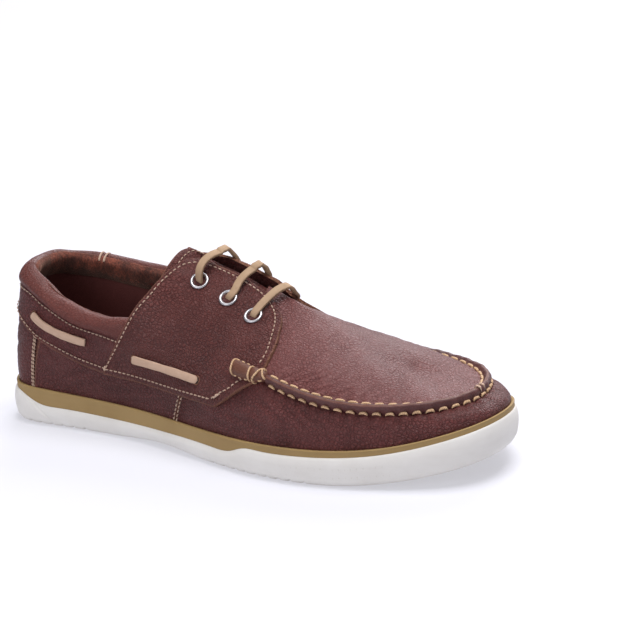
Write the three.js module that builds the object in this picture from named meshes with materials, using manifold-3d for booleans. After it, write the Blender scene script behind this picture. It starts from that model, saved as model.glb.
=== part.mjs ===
// A right boat shoe, EU 42, standing empty on its sole. Millimetres, +Z up, +X towards the toe, -Y the outer side.
// Every curved piece comes from the same few functions: the outline of the sole, the heights along it, and the
// skin of the last (ribs that climb from the edge of the sole to a spine line over the foot).
import * as THREE from "three";
import Module from "manifold-3d";

const wasm = await Module();
wasm.setup();

// ---- driving sizes
const LENGTH = 296; // outsole, heel to toe
const GAP = 0.3; // between neighbouring pieces
const WALL = 2.0; // leather and lining of the upper
const SADDLE_T = 1.4; // leather of the saddle
const TONGUE_T = 2.4;
const FEATHER_INSET = 3.0; // the upper stands this far in from the edge of the sole
const SPINE_BACK = 38; // the ribs of the heel meet over this station
const SPINE_FRONT = 232; // and those of the toe over this one
const RISE = 0.8; // roundness of a rib
const EYELET_R = 4.7;
const EYELET_HOLE_R = 2.7;
const LACE_W = 3.6;
const LACE_T = 1.7;
const THROAT_HALF = 4.2; // half the gap between the two saddles

// ---- short tables, one row a station
// outline of the sole: share of the length, half width on the outer side, on the inner side
const OUTLINE = [
  [0.035, 27.5, 22.5], [0.1, 31.3, 31.5], [0.2, 31.0, 36.3], [0.32, 33.3, 37.0],
  [0.45, 42.3, 38.6], [0.58, 51.5, 44.3], [0.68, 53.6, 50.5], [0.78, 49.2, 53.4],
  [0.87, 40.2, 49.2], [0.94, 29.4, 38.4], [0.985, 15.6, 21.8],
];
const HEEL_Y = -1.5;
const TOE_Y = 2.4;
// station, height of the edge where the upper meets the sole
const FEATHER_Z = [[0, 22], [40, 19.8], [120, 17.2], [160, 17.3], [200, 18.2], [250, 21.6], [296, 33]];
// station, height of the spine over the foot
const SPINE_Z = [[30, 112], [75, 108], [95, 101.5], [110, 96], [130, 90], [150, 83.5], [165, 78], [180, 72.5],
  [200, 64.8], [215, 59], [235, 51]];
const SPINE_Y = [[30, 2], [60, 4.5], [90, 8], [120, 10], [150, 8.5], [180, 6], [210, 4], [240, 3]];
// station, height of the apron seam, and the share of the rib that lies outside it
const SEAM_Z = [[100, 71], [130, 64], [150, 57], [190, 47], [230, 40.5], [262, 39], [290, 40]];
const SEAM_IN = [[100, 0.5], [150, 0.32], [190, 0.185], [230, 0.125], [262, 0.155], [290, 0.21]];
// height over the feather edge, how far the back of the heel leans in
const HEEL_LEAN = [[0, 0], [12, -0.2], [25, 1.2], [42, 4.3], [64, 9.6], [90, 14], [130, 18]];
// angle round the sole from the heel, height over the floor: edges of the pieces
const COLLAR_SEAM = [[0, 75.5], [0.35, 75], [0.56, 73], [0.64, 69.7], [0.763, 64], [0.866, 59.2], [1.01, 55.7], [1.124, 52.5]];
const COLLAR_TOP = [[0, 87], [0.35, 86.5], [0.56, 84], [0.77, 78.7], [0.874, 73], [1.027, 68.5], [1.14, 66.5]];
const SADDLE_LOW = [[1.05, 37.4], [1.228, 36.2], [1.411, 34.8], [1.58, 34.7], [1.65, 38.7], [1.72, 45.4], [1.787, 52.9]];
const SADDLE_BACK = [[1.05, 39], [1.1, 46.5], [1.15, 54], [1.172, 60], [1.18, 66], [1.205, 74.5], [1.235, 82], [1.262, 89],
  [1.3, 93.4], [1.34, 94.6]];
const SADDLE_FRONT = [[1.7, 75], [1.709, 73.1], [1.751, 69.2], [1.772, 66], [1.788, 61.5]];
const TONGUE_BACK = [[1.16, 60], [1.172, 73], [1.2, 83], [1.225, 89], [1.25, 95], [1.27, 99]];
const TONGUE_LOW = [[1.16, 54], [1.3, 50], [1.5, 50], [1.7, 55], [1.84, 60]];
// eyelets, back to front: angle round the sole, climb angle of the rib
const EYELETS = [[1.379, 0.983], [1.512, 0.937], [1.636, 0.911]];

// ---- splines and the outline
/** Natural cubic spline through [x, y] rows, straight on past its ends. */
function spline(rows) {
  const n = rows.length;
  const xs = rows.map((r) => r[0]);
  const ys = rows.map((r) => r[1]);
  const h = xs.slice(1).map((x, i) => x - xs[i]);
  const c = new Array(n).fill(0);
  const d = new Array(n).fill(0);
  for (let i = 1; i < n - 1; i++) {
    const b = 2 * (h[i - 1] + h[i]) - h[i - 1] * c[i - 1];
    const r = 6 * ((ys[i + 1] - ys[i]) / h[i] - (ys[i] - ys[i - 1]) / h[i - 1]);
    c[i] = h[i] / b;
    d[i] = (r - h[i - 1] * d[i - 1]) / b;
  }
  const m = new Array(n).fill(0);
  for (let i = n - 2; i > 0; i--) m[i] = d[i] - c[i] * m[i + 1];
  return (at) => {
    const x = Math.min(Math.max(at, xs[0]), xs[n - 1]);
    let k = 0;
    while (k < n - 2 && x >= xs[k + 1]) k++;
    const t = x - xs[k];
    const s = xs[k + 1] - x;
    return (m[k] * s ** 3 + m[k + 1] * t ** 3) / (6 * h[k])
      + (ys[k] / h[k] - (m[k] * h[k]) / 6) * s + (ys[k + 1] / h[k] - (m[k + 1] * h[k]) / 6) * t;
  };
}
/** Straight lines through [x, y] rows. */
function chain(rows) {
  return (at) => {
    const x = Math.min(Math.max(at, rows[0][0]), rows[rows.length - 1][0]);
    let k = 0;
    while (k < rows.length - 2 && x >= rows[k + 1][0]) k++;
    const [x0, y0] = rows[k];
    const [x1, y1] = rows[k + 1];
    return y0 + ((y1 - y0) * (x - x0)) / (x1 - x0);
  };
}
const TURN = 2 * Math.PI;
const angleOf = (u) => Math.acos(1 - 2 * u);
const loop = [[0, HEEL_Y], ...OUTLINE.map(([u, out]) => [angleOf(u), -out]), [Math.PI, TOE_Y],
  ...[...OUTLINE].reverse().map(([u, , inner]) => [TURN - angleOf(u), inner])];
const wrap = 5;
const edgeY = spline([...loop.slice(-wrap).map(([a, y]) => [a - TURN, y]), ...loop,
  ...loop.slice(0, wrap).map(([a, y]) => [a + TURN, y])]);
/** Edge of the sole at angle psi: 0 heel, up to PI along the outer side to the toe, back along the inner side. */
function edge(psi) {
  const p = ((psi % TURN) + TURN) % TURN;
  return new THREE.Vector2((LENGTH * (1 - Math.cos(p))) / 2, edgeY(p));
}
function edgeNormal(psi) {
  const d = edge(psi + 1e-3).sub(edge(psi - 1e-3));
  return new THREE.Vector2(d.y, -d.x).normalize();
}
const inset = (psi, by) => edge(psi).addScaledVector(edgeNormal(psi), -by);

const featherZ = spline(FEATHER_Z);
const spineZ = spline(SPINE_Z);
const spineY = spline(SPINE_Y);
const seamZ = spline(SEAM_Z);
const seamIn = spline(SEAM_IN);
const heelLean = spline(HEEL_LEAN);
const clamp = (x, lo, hi) => Math.min(Math.max(x, lo), hi);
const ease = (x, lo, hi) => THREE.MathUtils.smoothstep(x, lo, hi);
/** Clamp with rounded corners. */
function softClamp(x, lo, hi, k = 20) {
  const up = (x + lo + Math.hypot(x - lo, k)) / 2;
  return (up + hi - Math.hypot(up - hi, k)) / 2;
}

// ---- the last: a rib climbs from the feather edge P to the spine point C
/** Foot and head of the rib at angle psi, its height and roundness, and the climb angle of the apron seam. */
function rib(psi) {
  const foot = inset(psi, FEATHER_INSET);
  const headX = softClamp(edge(psi).x, SPINE_BACK, SPINE_FRONT);
  const head = new THREE.Vector2(headX, spineY(headX));
  const reach = foot.distanceTo(head);
  const top = spineZ(headX);
  const at = clamp(foot.x, 100, 290);
  const inBy = seamIn(at) * reach;
  const q = foot.clone().lerp(head, inBy / reach);
  const low = featherZ(q.x);
  const share = clamp((seamZ(clamp(q.x, 100, 290)) - low) / (top - low), 0.02, 0.98);
  const seam = Math.asin(share ** (1 / RISE));
  const heel = 1 / (1 + Math.exp((foot.x - 105) / 12));
  const fold = Math.log(1 - inBy / reach) / Math.log(Math.cos(seam));
  return { foot, head, reach, top, seam, fold: fold * (1 - heel) + 0.1 * heel };
}
/** Point of the last at angle psi round the sole and climb angle th up the rib. */
function last(psi, th) {
  const r = rib(psi);
  const across = Math.max(Math.cos(th), 0) ** r.fold;
  const up = Math.sin(th) ** RISE;
  const q = r.head.clone().lerp(r.foot, across);
  const low = featherZ(q.x);
  const z = low * (1 - up) + r.top * up;
  const weight = clamp(1 - (r.foot.x - 5) / 75, 0, 1) ** 2;
  q.addScaledVector(edgeNormal(psi), -heelLean(clamp(z - low, 0, 130)) * weight);
  return new THREE.Vector3(q.x, q.y, z);
}
/** Point at a distance off the last, along its outward normal. */
function skin(psi, th, off) {
  const p = last(psi, th);
  const normal = new THREE.Vector3();
  if (th > 1.54) {
    const x = rib(psi).head.x;
    normal.set(-(spineZ(x + 1) - spineZ(x - 1)) / 2, 0, 1);
  } else {
    const h = 1e-3;
    const a = last(psi + h, th).sub(last(psi - h, th));
    const b = last(psi, th + h).sub(last(psi, Math.max(th - h, 0)));
    normal.crossVectors(a, b);
  }
  return p.addScaledVector(normal.normalize(), off);
}
/** Climb angle at which the rib is a plan distance g from the spine. */
function climbAt(psi, g) {
  const r = rib(psi);
  return Math.acos(clamp(g / r.reach, 0, 1) ** (1 / r.fold));
}
/** Climb angle at which the rib reaches height z. */
function climbTo(psi, z) {
  const r = rib(psi);
  let th = 0.5;
  for (let i = 0; i < 4; i++) {
    const low = featherZ(r.head.x + (r.foot.x - r.head.x) * Math.cos(th) ** r.fold);
    th = Math.asin(clamp((z - low) / (r.top - low), 0, 1) ** (1 / RISE));
  }
  return th;
}
/** Angle round the sole on one side: side -1 is the outer side, +1 the inner side. */
const round = (side, phi) => (side < 0 ? phi : TURN - phi);

// ---- closed meshes
/** Closed geometry from faces of points; points closer than a micron become one. */
function weld(faces) {
  const index = new Map();
  const positions = [];
  const tri = [];
  const id = (p) => {
    const key = [p.x, p.y, p.z].map((v) => Math.round(v * 500)).join();
    if (!index.has(key)) {
      index.set(key, positions.length / 3);
      positions.push(p.x, p.y, p.z);
    }
    return index.get(key);
  };
  for (const f of faces) {
    const [a, b, c] = f.map(id);
    if (a !== b && b !== c && c !== a) tri.push(a, b, c);
  }
  const g = new THREE.BufferGeometry();
  g.setAttribute("position", new THREE.Float32BufferAttribute(positions, 3));
  g.setIndex(tri);
  return g;
}
/** Two triangles for each cell of a grid of values, turned over where flip is set. */
function cells(grid, flip = false) {
  const faces = [];
  for (let i = 0; i + 1 < grid.length; i++)
    for (let j = 0; j + 1 < grid[i].length; j++) {
      const [a, b, c, d] = [grid[i][j], grid[i + 1][j], grid[i + 1][j + 1], grid[i][j + 1]];
      faces.push(...(flip ? [[a, c, b], [a, d, c]] : [[a, b, c], [a, c, d]]));
    }
  return faces;
}
/** A sheet of pairs {out, into} closed into a solid: outer faces, inner faces and the walls round its edges. */
function thicken(pairFaces) {
  const key = (q) => [q.out.x, q.out.y, q.out.z].map((v) => Math.round(v * 500)).join();
  const open = new Map();
  const faces = [];
  for (const f of pairFaces) {
    const k = f.map(key);
    if (k[0] === k[1] || k[1] === k[2] || k[2] === k[0]) continue;
    faces.push(f.map((q) => q.out), [f[0].into, f[2].into, f[1].into]);
    for (let e = 0; e < 3; e++) {
      const n = (e + 1) % 3;
      if (open.has(k[n] + "|" + k[e])) open.delete(k[n] + "|" + k[e]);
      else open.set(k[e] + "|" + k[n], [f[e], f[n]]);
    }
  }
  for (const [a, b] of open.values())
    faces.push([a.out, a.into, b.into], [a.out, b.into, b.out]);
  return weld(faces);
}
/** Solid between two loops of the same rings: rings is an array of closed rings, both ends capped by strips. */
function loft(rings) {
  const faces = cells(rings.map((r) => [...r, r[0]]));
  const cap = (ring, flip) => {
    const n = ring.length;
    for (let i = 0; i < Math.floor(n / 2); i++) {
      const [a, b, c, d] = [ring[i], ring[i + 1], ring[(n - 1 - i) % n], ring[(n - i) % n]];
      const pair = [[a, b, c], [a, c, d]];
      for (const t of pair) faces.push(flip ? [t[0], t[2], t[1]] : t);
    }
  };
  cap(rings[0], false);
  cap(rings[rings.length - 1], true);
  return weld(faces);
}
/** Ring of points round the sole at an inset, at heights from z(x). */
function ringAt(phis, by, z) {
  const points = [];
  for (const phi of [...phis, ...[...phis].slice(1, -1).reverse().map((p) => TURN - p)]) {
    const q = inset(phi, by);
    points.push(new THREE.Vector3(q.x, q.y, z(q.x)));
  }
  return points;
}

// ---- joining and cutting
function toSolid(geometry) {
  return new wasm.Manifold(new wasm.Mesh({
    numProp: 3,
    vertProperties: new Float32Array(geometry.attributes.position.array),
    triVerts: new Uint32Array(geometry.index.array),
  }));
}
/** A three.js solid, welded, turned so that its own +Z follows dir, at a place. */
function placed(geometry, at, dir) {
  const g = geometry.index ? geometry.toNonIndexed() : geometry.clone();
  g.applyQuaternion(new THREE.Quaternion().setFromUnitVectors(new THREE.Vector3(0, 0, 1), dir));
  g.translate(at.x, at.y, at.z);
  const p = g.attributes.position;
  const faces = [];
  for (let i = 0; i < p.count; i += 3)
    faces.push([0, 1, 2].map((k) => new THREE.Vector3().fromBufferAttribute(p, i + k)));
  return weld(faces);
}
function fromSolid(solid) {
  const m = solid.getMesh();
  const g = new THREE.BufferGeometry();
  g.setAttribute("position", new THREE.Float32BufferAttribute(Float32Array.from(m.vertProperties), 3));
  g.setIndex([...m.triVerts]);
  return g;
}
const cut = (geometry, cutters) =>
  fromSolid(cutters.reduce((solid, c) => solid.subtract(toSolid(c)), toSolid(geometry)));

// ---- materials
const finish = (color, roughness, metalness = 0) => new THREE.MeshStandardMaterial({ color, roughness, metalness });
const BROWN = finish(0x5f3b38, 0.55);
const ROLL = finish(0x55332f, 0.5);
const TAN = finish(0x967a48, 0.7);
const WHITE = finish(0xd8d4cc, 0.65);
const LACE = finish(0xb99a76, 0.75);
const NICKEL = finish(0xb9bcc2, 0.3, 1);
const LINING = finish(0x4a2a22, 0.85);

const shoe = new THREE.Group();
function add(name, geometry, material) {
  const g = geometry.toNonIndexed();
  g.computeVertexNormals();
  const mesh = new THREE.Mesh(g, material);
  mesh.name = name;
  shoe.add(mesh);
}
const span = (a, b, n) => Array.from({ length: n + 1 }, (_, i) => a + ((b - a) * i) / n);
const PHIS = [...span(0, 1.0, 9), ...span(1.0, Math.PI, 19).slice(1)];

// ---- outsole: flat heel and forefoot, arch between them, toe spring, wavy cuts across
const groundZ = (x) => 13 * clamp((x - 212) / 84, 0, 1) ** 2
  + (x > 74 && x < 148 ? 1.8 * Math.sin((Math.PI * (x - 74)) / 74) ** 2 : 0) + 1.2 * clamp((8 - x) / 8, 0, 1) ** 2;
const stripLow = spline([[0, 17.3], [14, 17.2], [26, 12.2], [40, 10.8], [70, 9.9], [110, 9.4], [150, 9.6], [163, 10.4],
  [172, 13.6], [182, 14.2], [200, 14.5], [250, 18.4], [296, 30]]);
const outsoleRings = [
  ringAt(PHIS, 3.2, (x) => groundZ(x)),
  ringAt(PHIS, 1.0, (x) => groundZ(x) + 2.6),
  ringAt(PHIS, 0.0, (x) => (groundZ(x) + stripLow(x)) / 2 + 1),
  ringAt(PHIS, 0.9, (x) => stripLow(x) - GAP),
];
/** Band that waves across the sole, 2 mm wide. */
function waveCut(x, half) {
  const shape = new THREE.Shape();
  const ys = span(-half, half, 10);
  const wave = (y) => 1.5 * Math.cos((y * Math.PI) / (half / 2.5));
  ys.forEach((y, i) => (i ? shape.lineTo(x + wave(y) - 1, y) : shape.moveTo(x + wave(y) - 1, y)));
  [...ys].reverse().forEach((y) => shape.lineTo(x + wave(y) + 1, y));
  return placed(new THREE.ExtrudeGeometry(shape, { depth: 11.5, bevelEnabled: false }),
    new THREE.Vector3(0, 0, -10), new THREE.Vector3(0, 0, 1));
}
const outsole = cut(loft([...outsoleRings].reverse().map((r) => r)), [
  ...[20, 34, 48].map((x) => waveCut(x, 21)),
  ...[158, 172, 186, 200].map((x) => waveCut(x, 34)),
]);
add("outsole", outsole, WHITE);

// ---- midsole strip and insole
add("midsole", loft([
  ringAt(PHIS, 2.2, (x) => featherZ(x) - GAP),
  ringAt(PHIS, 1.4, (x) => featherZ(x) - 1.2),
  ringAt(PHIS, 1.4, (x) => stripLow(x)),
]), TAN);
add("insole", loft([
  ringAt(PHIS, FEATHER_INSET + WALL + 4.4, (x) => featherZ(x) + 4.0),
  ringAt(PHIS, FEATHER_INSET + WALL + 2.6, (x) => featherZ(x) + 2.8),
  ringAt(PHIS, FEATHER_INSET + WALL + 1.2, (x) => featherZ(x) + 0.2),
]), LINING);

// ---- upper: one hollow shell, open underneath, at the collar and at the throat
const collarSeam = spline(COLLAR_SEAM);
const saddleBack = chain(SADDLE_BACK);
const saddleLow = chain(SADDLE_LOW);
const saddleFront = chain(SADDLE_FRONT);
const THROAT_END = 1.69;
/** Pairs of points, off lower and upper, over angles phi and a climb from lo(phi) to hi(phi). */
function sheet(side, phis, lo, hi, steps, under, over) {
  return phis.map((phi) => {
    const psi = round(side, phi);
    return span(lo(phi, side), hi(phi, side), steps).map((th) => ({
      out: skin(psi, th, over),
      into: skin(psi, th, under),
    }));
  });
}
const throatClimb = (phi, side, half) => climbAt(round(side, phi), half);
/** Climb angle of the top edge of the shell at angle phi. */
const shellHi = (phi, side) => {
  if (phi >= THROAT_END) return Math.PI / 2;
  const throat = throatClimb(phi, side, THROAT_HALF + 3);
  const edgeTop = phi < 1.16 ? collarSeam(phi) : saddleBack(phi - 0.025);
  return phi < 1.36 ? Math.min(climbTo(round(side, phi), Math.max(edgeTop, 52)), throat) : throat;
};
const SHELL_PHIS = [...span(0, 1.0, 9), 1.08, 1.14, 1.17, 1.2, 1.23, 1.26, 1.29, 1.32, 1.35, 1.42, 1.5, 1.58, 1.66,
  ...span(1.7, 2.6, 8), 2.73, 2.86, 3.0, Math.PI];
const eyeletAt = (side, i) => ({ psi: round(side, EYELETS[i][0]), th: EYELETS[i][1] - (side > 0 ? 0.08 : 0) });
/** A drum through the leather at an eyelet. */
function drum(side, i, radius, from, to) {
  const { psi, th } = eyeletAt(side, i);
  const a = skin(psi, th, from);
  const dir = skin(psi, th, to).sub(a);
  const g = new THREE.CylinderGeometry(radius, radius, dir.length(), 14).rotateX(Math.PI / 2);
  g.translate(0, 0, dir.length() / 2);
  return placed(g, a, dir.clone().normalize());
}
const sides = [-1, 1];
const shellFaces = sides.flatMap((side) =>
  cells(sheet(side, SHELL_PHIS, () => 0, shellHi, 7, -WALL, 0), side > 0));
const drums = (side, radius) => [0, 1, 2].map((i) => drum(side, i, radius, -9, 9));
add("upper", cut(thicken(shellFaces), sides.flatMap((side) => drums(side, EYELET_HOLE_R))), BROWN);

// ---- saddles over the instep
const SADDLE_PHIS = [1.05, 1.08, 1.11, 1.14, 1.16, 1.18, 1.205, 1.235, 1.262, 1.29, 1.31, 1.33, 1.38, 1.44, 1.5, 1.56, 1.62,
  1.66, 1.69, 1.71, 1.73, 1.75, 1.77, 1.79];
const saddleHi = (phi, side) => {
  const throat = throatClimb(phi, side, THROAT_HALF);
  const psi = round(side, phi);
  if (phi < 1.34) return Math.min(climbTo(psi, saddleBack(phi)), throat);
  return phi > 1.69 ? Math.min(climbTo(psi, saddleFront(phi)), throat) : throat;
};
const SADDLE_OFF = 0.6; // clear of the shell all over
for (const side of sides) {
  const faces = cells(sheet(side, SADDLE_PHIS, (phi) => climbTo(round(side, phi), saddleLow(phi)), saddleHi, 9, SADDLE_OFF,
    SADDLE_OFF + SADDLE_T), side > 0);
  add(side < 0 ? "saddle_outer" : "saddle_inner", cut(thicken(faces), drums(side, EYELET_HOLE_R + 0.9)), BROWN);
}

// ---- tongue under the throat, its back edge past the saddles
const tongueBack = chain(TONGUE_BACK);
const tongueLow = spline(TONGUE_LOW);
const TONGUE_PHIS = [1.165, 1.18, 1.2, 1.22, 1.24, 1.26, 1.28, 1.32, 1.38, 1.45, 1.52, 1.6, 1.68, 1.76, 1.84];
const tongueHi = (phi, side) => (phi < 1.26 ? climbTo(round(side, phi), tongueBack(phi)) : Math.PI / 2);
const tongueFaces = sides.flatMap((side) =>
  cells(sheet(side, TONGUE_PHIS, (phi) => climbTo(round(side, phi), tongueLow(phi)), tongueHi, 7,
    -WALL - 1.3 - TONGUE_T, -WALL - 1.3), side > 0));
add("tongue", thicken(tongueFaces), BROWN);

// ---- padded collar round the heel, between the back edges of the saddles
const collarTop = spline(COLLAR_TOP);
// across the roll: share of its height, depth in from the outer face of the shell
const ROLL_SECTION = [[0, 0.2], [0.3, -1.1], [0.65, -1.2], [0.9, 0.6], [1, 3.6], [0.93, 7], [0.68, 9], [0.3, 9.4], [0, 8.4]];
function rollRing(psi) {
  const phi = psi > Math.PI ? TURN - psi : psi;
  const foot = last(psi, climbTo(psi, collarSeam(phi)));
  const head = last(psi, climbTo(psi, collarTop(phi)));
  const n = edgeNormal(psi);
  const rise = head.sub(foot);
  foot.z += 2 * GAP;
  return ROLL_SECTION.map(([up, deep]) =>
    foot.clone().addScaledVector(rise, up).add(new THREE.Vector3(-n.x * deep, -n.y * deep, 0)));
}
const rollPsis = [...span(-1.14, -0.1, 13), 0, ...span(0.1, 1.14, 13)];
add("collar", loft(rollPsis.map((p) => rollRing(((p % TURN) + TURN) % TURN))), ROLL);

// ---- raised apron seam
const seamPsis = span(1.84, TURN - 1.84, 44);
const LIP_SECTION = [[-1.6, 0.3], [-1.5, 2.2], [-0.7, 3.7], [0.6, 3.7], [1.4, 2.2], [1.5, 0.3]];
add("apron_seam", loft(seamPsis.map((psi) => {
  const { seam } = rib(psi);
  const p = last(psi, seam);
  const up = last(psi, seam + 0.03).sub(last(psi, seam - 0.03)).normalize();
  const n = skin(psi, seam, 1).sub(p);
  return LIP_SECTION.map(([along, off]) => p.clone().addScaledVector(up, -along).addScaledVector(n, off));
}).reverse()), BROWN);

// ---- tabs that end the seam at the saddles
for (const side of sides) {
  const path = span(1.68, 1.82, 6).map((phi, i) => {
    const psi = round(side, phi);
    const th = climbTo(psi, 50.8 - 0.25 * i);
    const p = skin(psi, th, 0);
    const n = skin(psi, th, 1).sub(p);
    const up = skin(psi, th + 0.02, 0).sub(p).normalize();
    const swell = Math.sqrt(Math.max(1 - ((i - 3) / 3.4) ** 4, 0.05));
    return [[-1, 0.15], [-0.8, 0.75], [0, 1], [0.8, 0.75], [1, 0.15], [0.6, 0], [-0.6, 0]].map(([a, o]) =>
      p.clone().addScaledVector(up, a * 4.2 * swell).addScaledVector(n, 2.5 + o * 4.0 * swell));
  });
  add(side < 0 ? "tab_outer" : "tab_inner", loft(side < 0 ? path : path.reverse()), BROWN);
}

// ---- eyelets and the lace bars through them
const RING = [[EYELET_HOLE_R, -1.3], [EYELET_HOLE_R + 0.5, -1.3], [EYELET_HOLE_R + 0.5, 0.3], [EYELET_R - 0.2, 0.3],
  [EYELET_R, 0.6], [EYELET_R - 0.6, 1.15], [EYELET_HOLE_R + 0.5, 1.2], [EYELET_HOLE_R, 0.7], [EYELET_HOLE_R, -1.3]];
const names = { "-1": "outer", 1: "inner" };
for (const side of sides)
  for (let i = 0; i < 3; i++) {
    const { psi, th } = eyeletAt(side, i);
    const ring = new THREE.LatheGeometry(RING.map(([r, z]) => new THREE.Vector2(r, z)), 14).rotateX(Math.PI / 2);
    const at = skin(psi, th, SADDLE_OFF + SADDLE_T + 0.15);
    add(`eyelet_${names[side]}_${i + 1}`, placed(ring, at, skin(psi, th, 5).sub(at).normalize()), NICKEL);
  }
/** Flat strap along a curve, its width kept level with a given direction. */
function strap(points, wide, thick, ways) {
  const curve = new THREE.CatmullRomCurve3(points, false, "centripetal");
  const rings = ways.map((t) => {
    const p = curve.getPointAt(t.at);
    const d = curve.getTangentAt(t.at);
    const w = t.width.clone().addScaledVector(d, -t.width.dot(d)).normalize();
    const n = new THREE.Vector3().crossVectors(d, w);
    return [[-1, -1], [1, -1], [1, 1], [-1, 1]].map(([a, b]) =>
      p.clone().addScaledVector(w, (a * wide) / 2).addScaledVector(n, (b * thick) / 2));
  });
  return loft(rings.reverse());
}
const ALONG = new THREE.Vector3(1, 0, -0.35).normalize();
// a bar over the throat: climb past the eyelet, distance off the last
const BAR_PATH = [[0, -0.5], [0, 2.4], [0.02, 4.5], [0.08, 5.9], [0.2, 6.3], [0.38, 6.2]];
for (let i = 0; i < 3; i++) {
  const half = (side) => {
    const { psi, th } = eyeletAt(side, i);
    return BAR_PATH.map(([climb, off]) => skin(psi, Math.min(th + climb, 1.45), off));
  };
  const crown = skin(EYELETS[i][0], Math.PI / 2, 6.6);
  const ways = span(0, 1, 20).map((at) => ({ at, width: ALONG }));
  add(`lace_bar_${i + 1}`, strap([...half(-1), crown, ...half(1).reverse()], LACE_W, LACE_T, ways), LACE);
}

// ---- side laces: straps that surface between two holes
const SIDE_LACES = [
  ["front", 1.176, 46.4, 1.495, 41.9, SADDLE_OFF + SADDLE_T + GAP],
  ["rear", 0.596, 60.5, 0.944, 49.7, GAP],
];
for (const side of sides)
  for (const [name, phi0, z0, phi1, z1, off] of SIDE_LACES) {
    const rings = span(0, 1, 10).map((t) => {
      const psi = round(side, phi0 + (phi1 - phi0) * t);
      const th = climbTo(psi, z0 + (z1 - z0) * t);
      const p = skin(psi, th, 0);
      const n = skin(psi, th, 1).sub(p);
      const up = skin(psi, th + 0.02, 0).sub(p).normalize();
      return [[-1, 0], [1, 0], [1, 1], [-1, 1]].map(([a, b]) =>
        p.clone().addScaledVector(up, (a * LACE_W) / 2).addScaledVector(n, off + b * LACE_T));
    });
    add(`side_lace_${names[side]}_${name}`, loft(side > 0 ? rings : rings.reverse()), LACE);
  }

// the part's origin is under the middle of the sole
const box = new THREE.Box3().setFromObject(shoe.getObjectByName("outsole"));
shoe.position.set(-(box.min.x + box.max.x) / 2, -(box.min.y + box.max.y) / 2, -box.min.z);

export default shoe;
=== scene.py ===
"""A right boat shoe dressed over its solid frame.

Everything curved comes from one form: the outline of the sole, the heights along it, and ribs that climb from the
edge of the sole to a spine line over the foot. A place on the form is (psi, th): the angle round the sole, 0 at the
heel, pi at the toe, growing along the outer side, and the climb angle up the rib. Sizes are in millimetres along the
shoe, 0 at the heel, until a mesh is written in metres.
"""
import logging
import math
from dataclasses import dataclass, field
from enum import Enum
from typing import Any, Callable, NamedTuple, Sequence

import bmesh
import bpy
import numpy as np
from mathutils import Matrix, Vector


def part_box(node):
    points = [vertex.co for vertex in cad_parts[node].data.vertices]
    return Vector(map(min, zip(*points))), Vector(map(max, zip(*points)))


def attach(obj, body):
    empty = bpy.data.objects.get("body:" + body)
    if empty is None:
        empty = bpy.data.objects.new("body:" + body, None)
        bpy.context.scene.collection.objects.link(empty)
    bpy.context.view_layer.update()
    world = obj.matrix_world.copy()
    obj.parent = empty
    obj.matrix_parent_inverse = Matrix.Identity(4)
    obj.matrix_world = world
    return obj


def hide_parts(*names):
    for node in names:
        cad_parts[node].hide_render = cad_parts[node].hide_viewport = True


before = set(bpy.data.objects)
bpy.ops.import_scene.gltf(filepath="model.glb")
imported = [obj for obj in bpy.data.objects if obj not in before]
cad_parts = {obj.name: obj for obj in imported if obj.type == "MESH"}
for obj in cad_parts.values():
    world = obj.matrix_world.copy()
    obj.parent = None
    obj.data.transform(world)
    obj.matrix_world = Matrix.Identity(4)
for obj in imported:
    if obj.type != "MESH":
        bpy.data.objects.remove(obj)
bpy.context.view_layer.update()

Array = np.ndarray
Rows = Sequence[Sequence[float]]
Pair = tuple[Array, Array]
Colour = tuple[float, float, float]
TURN = 2 * math.pi
LOG = logging.getLogger("shoe")
# (phi, climb) of the outer eyelets from the back; the inner ones sit INNER_DROP of climb lower.
EYELETS = ((1.385, 0.983), (1.518, 0.932), (1.642, 0.903))
INNER_DROP = 0.08
# Pitch of the apron stitches in mm, which the puckers beside them share.
APRON_PITCH = 6.6
# Places in mm of the wavy cuts under the heel and under the forefoot.
HEEL_CUTS = (20, 27, 34, 41, 48, 56)
BALL_CUTS = (150, 158, 165, 172, 179, 186, 193, 200, 208, 216, 224)


class Side(Enum):
    """The two flanks of the shoe; the value is the sign of y."""

    OUTER = -1
    INNER = 1


def word(side: Side) -> str:
    """The side's name for piece names."""
    return side.name.lower()


# ---------------------------------------------------------------- tables and runs


class Table:
    """A size read along a length: a natural cubic spline, held level past its ends."""

    def __init__(self, rows: Rows) -> None:
        """Solve the second derivatives m of the spline.

        Args:
            rows: (place, size), places growing.
        """
        self.x, self.y = np.asarray(rows, float).T
        n = len(self.x)
        h = np.diff(self.x)
        a = np.eye(n)
        r = np.zeros(n)
        i = np.arange(1, n - 1)
        a[i, i - 1], a[i, i], a[i, i + 1] = h[:-1], 2 * (h[:-1] + h[1:]), h[1:]
        r[i] = 6 * (np.diff(self.y)[1:] / h[1:] - np.diff(self.y)[:-1] / h[:-1])
        self.m = np.linalg.solve(a, r)

    def __call__(self, at: Array | float) -> Array:
        """The size at each place: on a stretch of length h, t past its start and s before its end,
        m0 s^3/6h + m1 t^3/6h + (y0/h - m0 h/6) s + (y1/h - m1 h/6) t.

        Args:
            at: places along the length.

        Returns:
            The sizes there.
        """
        x = np.clip(np.asarray(at, float), self.x[0], self.x[-1])
        k = np.clip(np.searchsorted(self.x, x, side="right") - 1, 0, len(self.x) - 2)
        h, m, y = np.diff(self.x)[k], self.m, self.y
        t, s = x - self.x[k], self.x[k + 1] - x
        curve = (m[k] * s**3 + m[k + 1] * t**3) / (6 * h)
        return curve + (y[k] / h - m[k] * h / 6) * s + (y[k + 1] / h - m[k + 1] * h / 6) * t


def smooth(x: Array | float, lo: float, hi: float) -> Array:
    """Smooth step: 0 under lo, 1 over hi, 3t^2 - 2t^3 between."""
    t = np.clip((np.asarray(x, float) - lo) / (hi - lo), 0, 1)
    return t * t * (3 - 2 * t)


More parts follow.
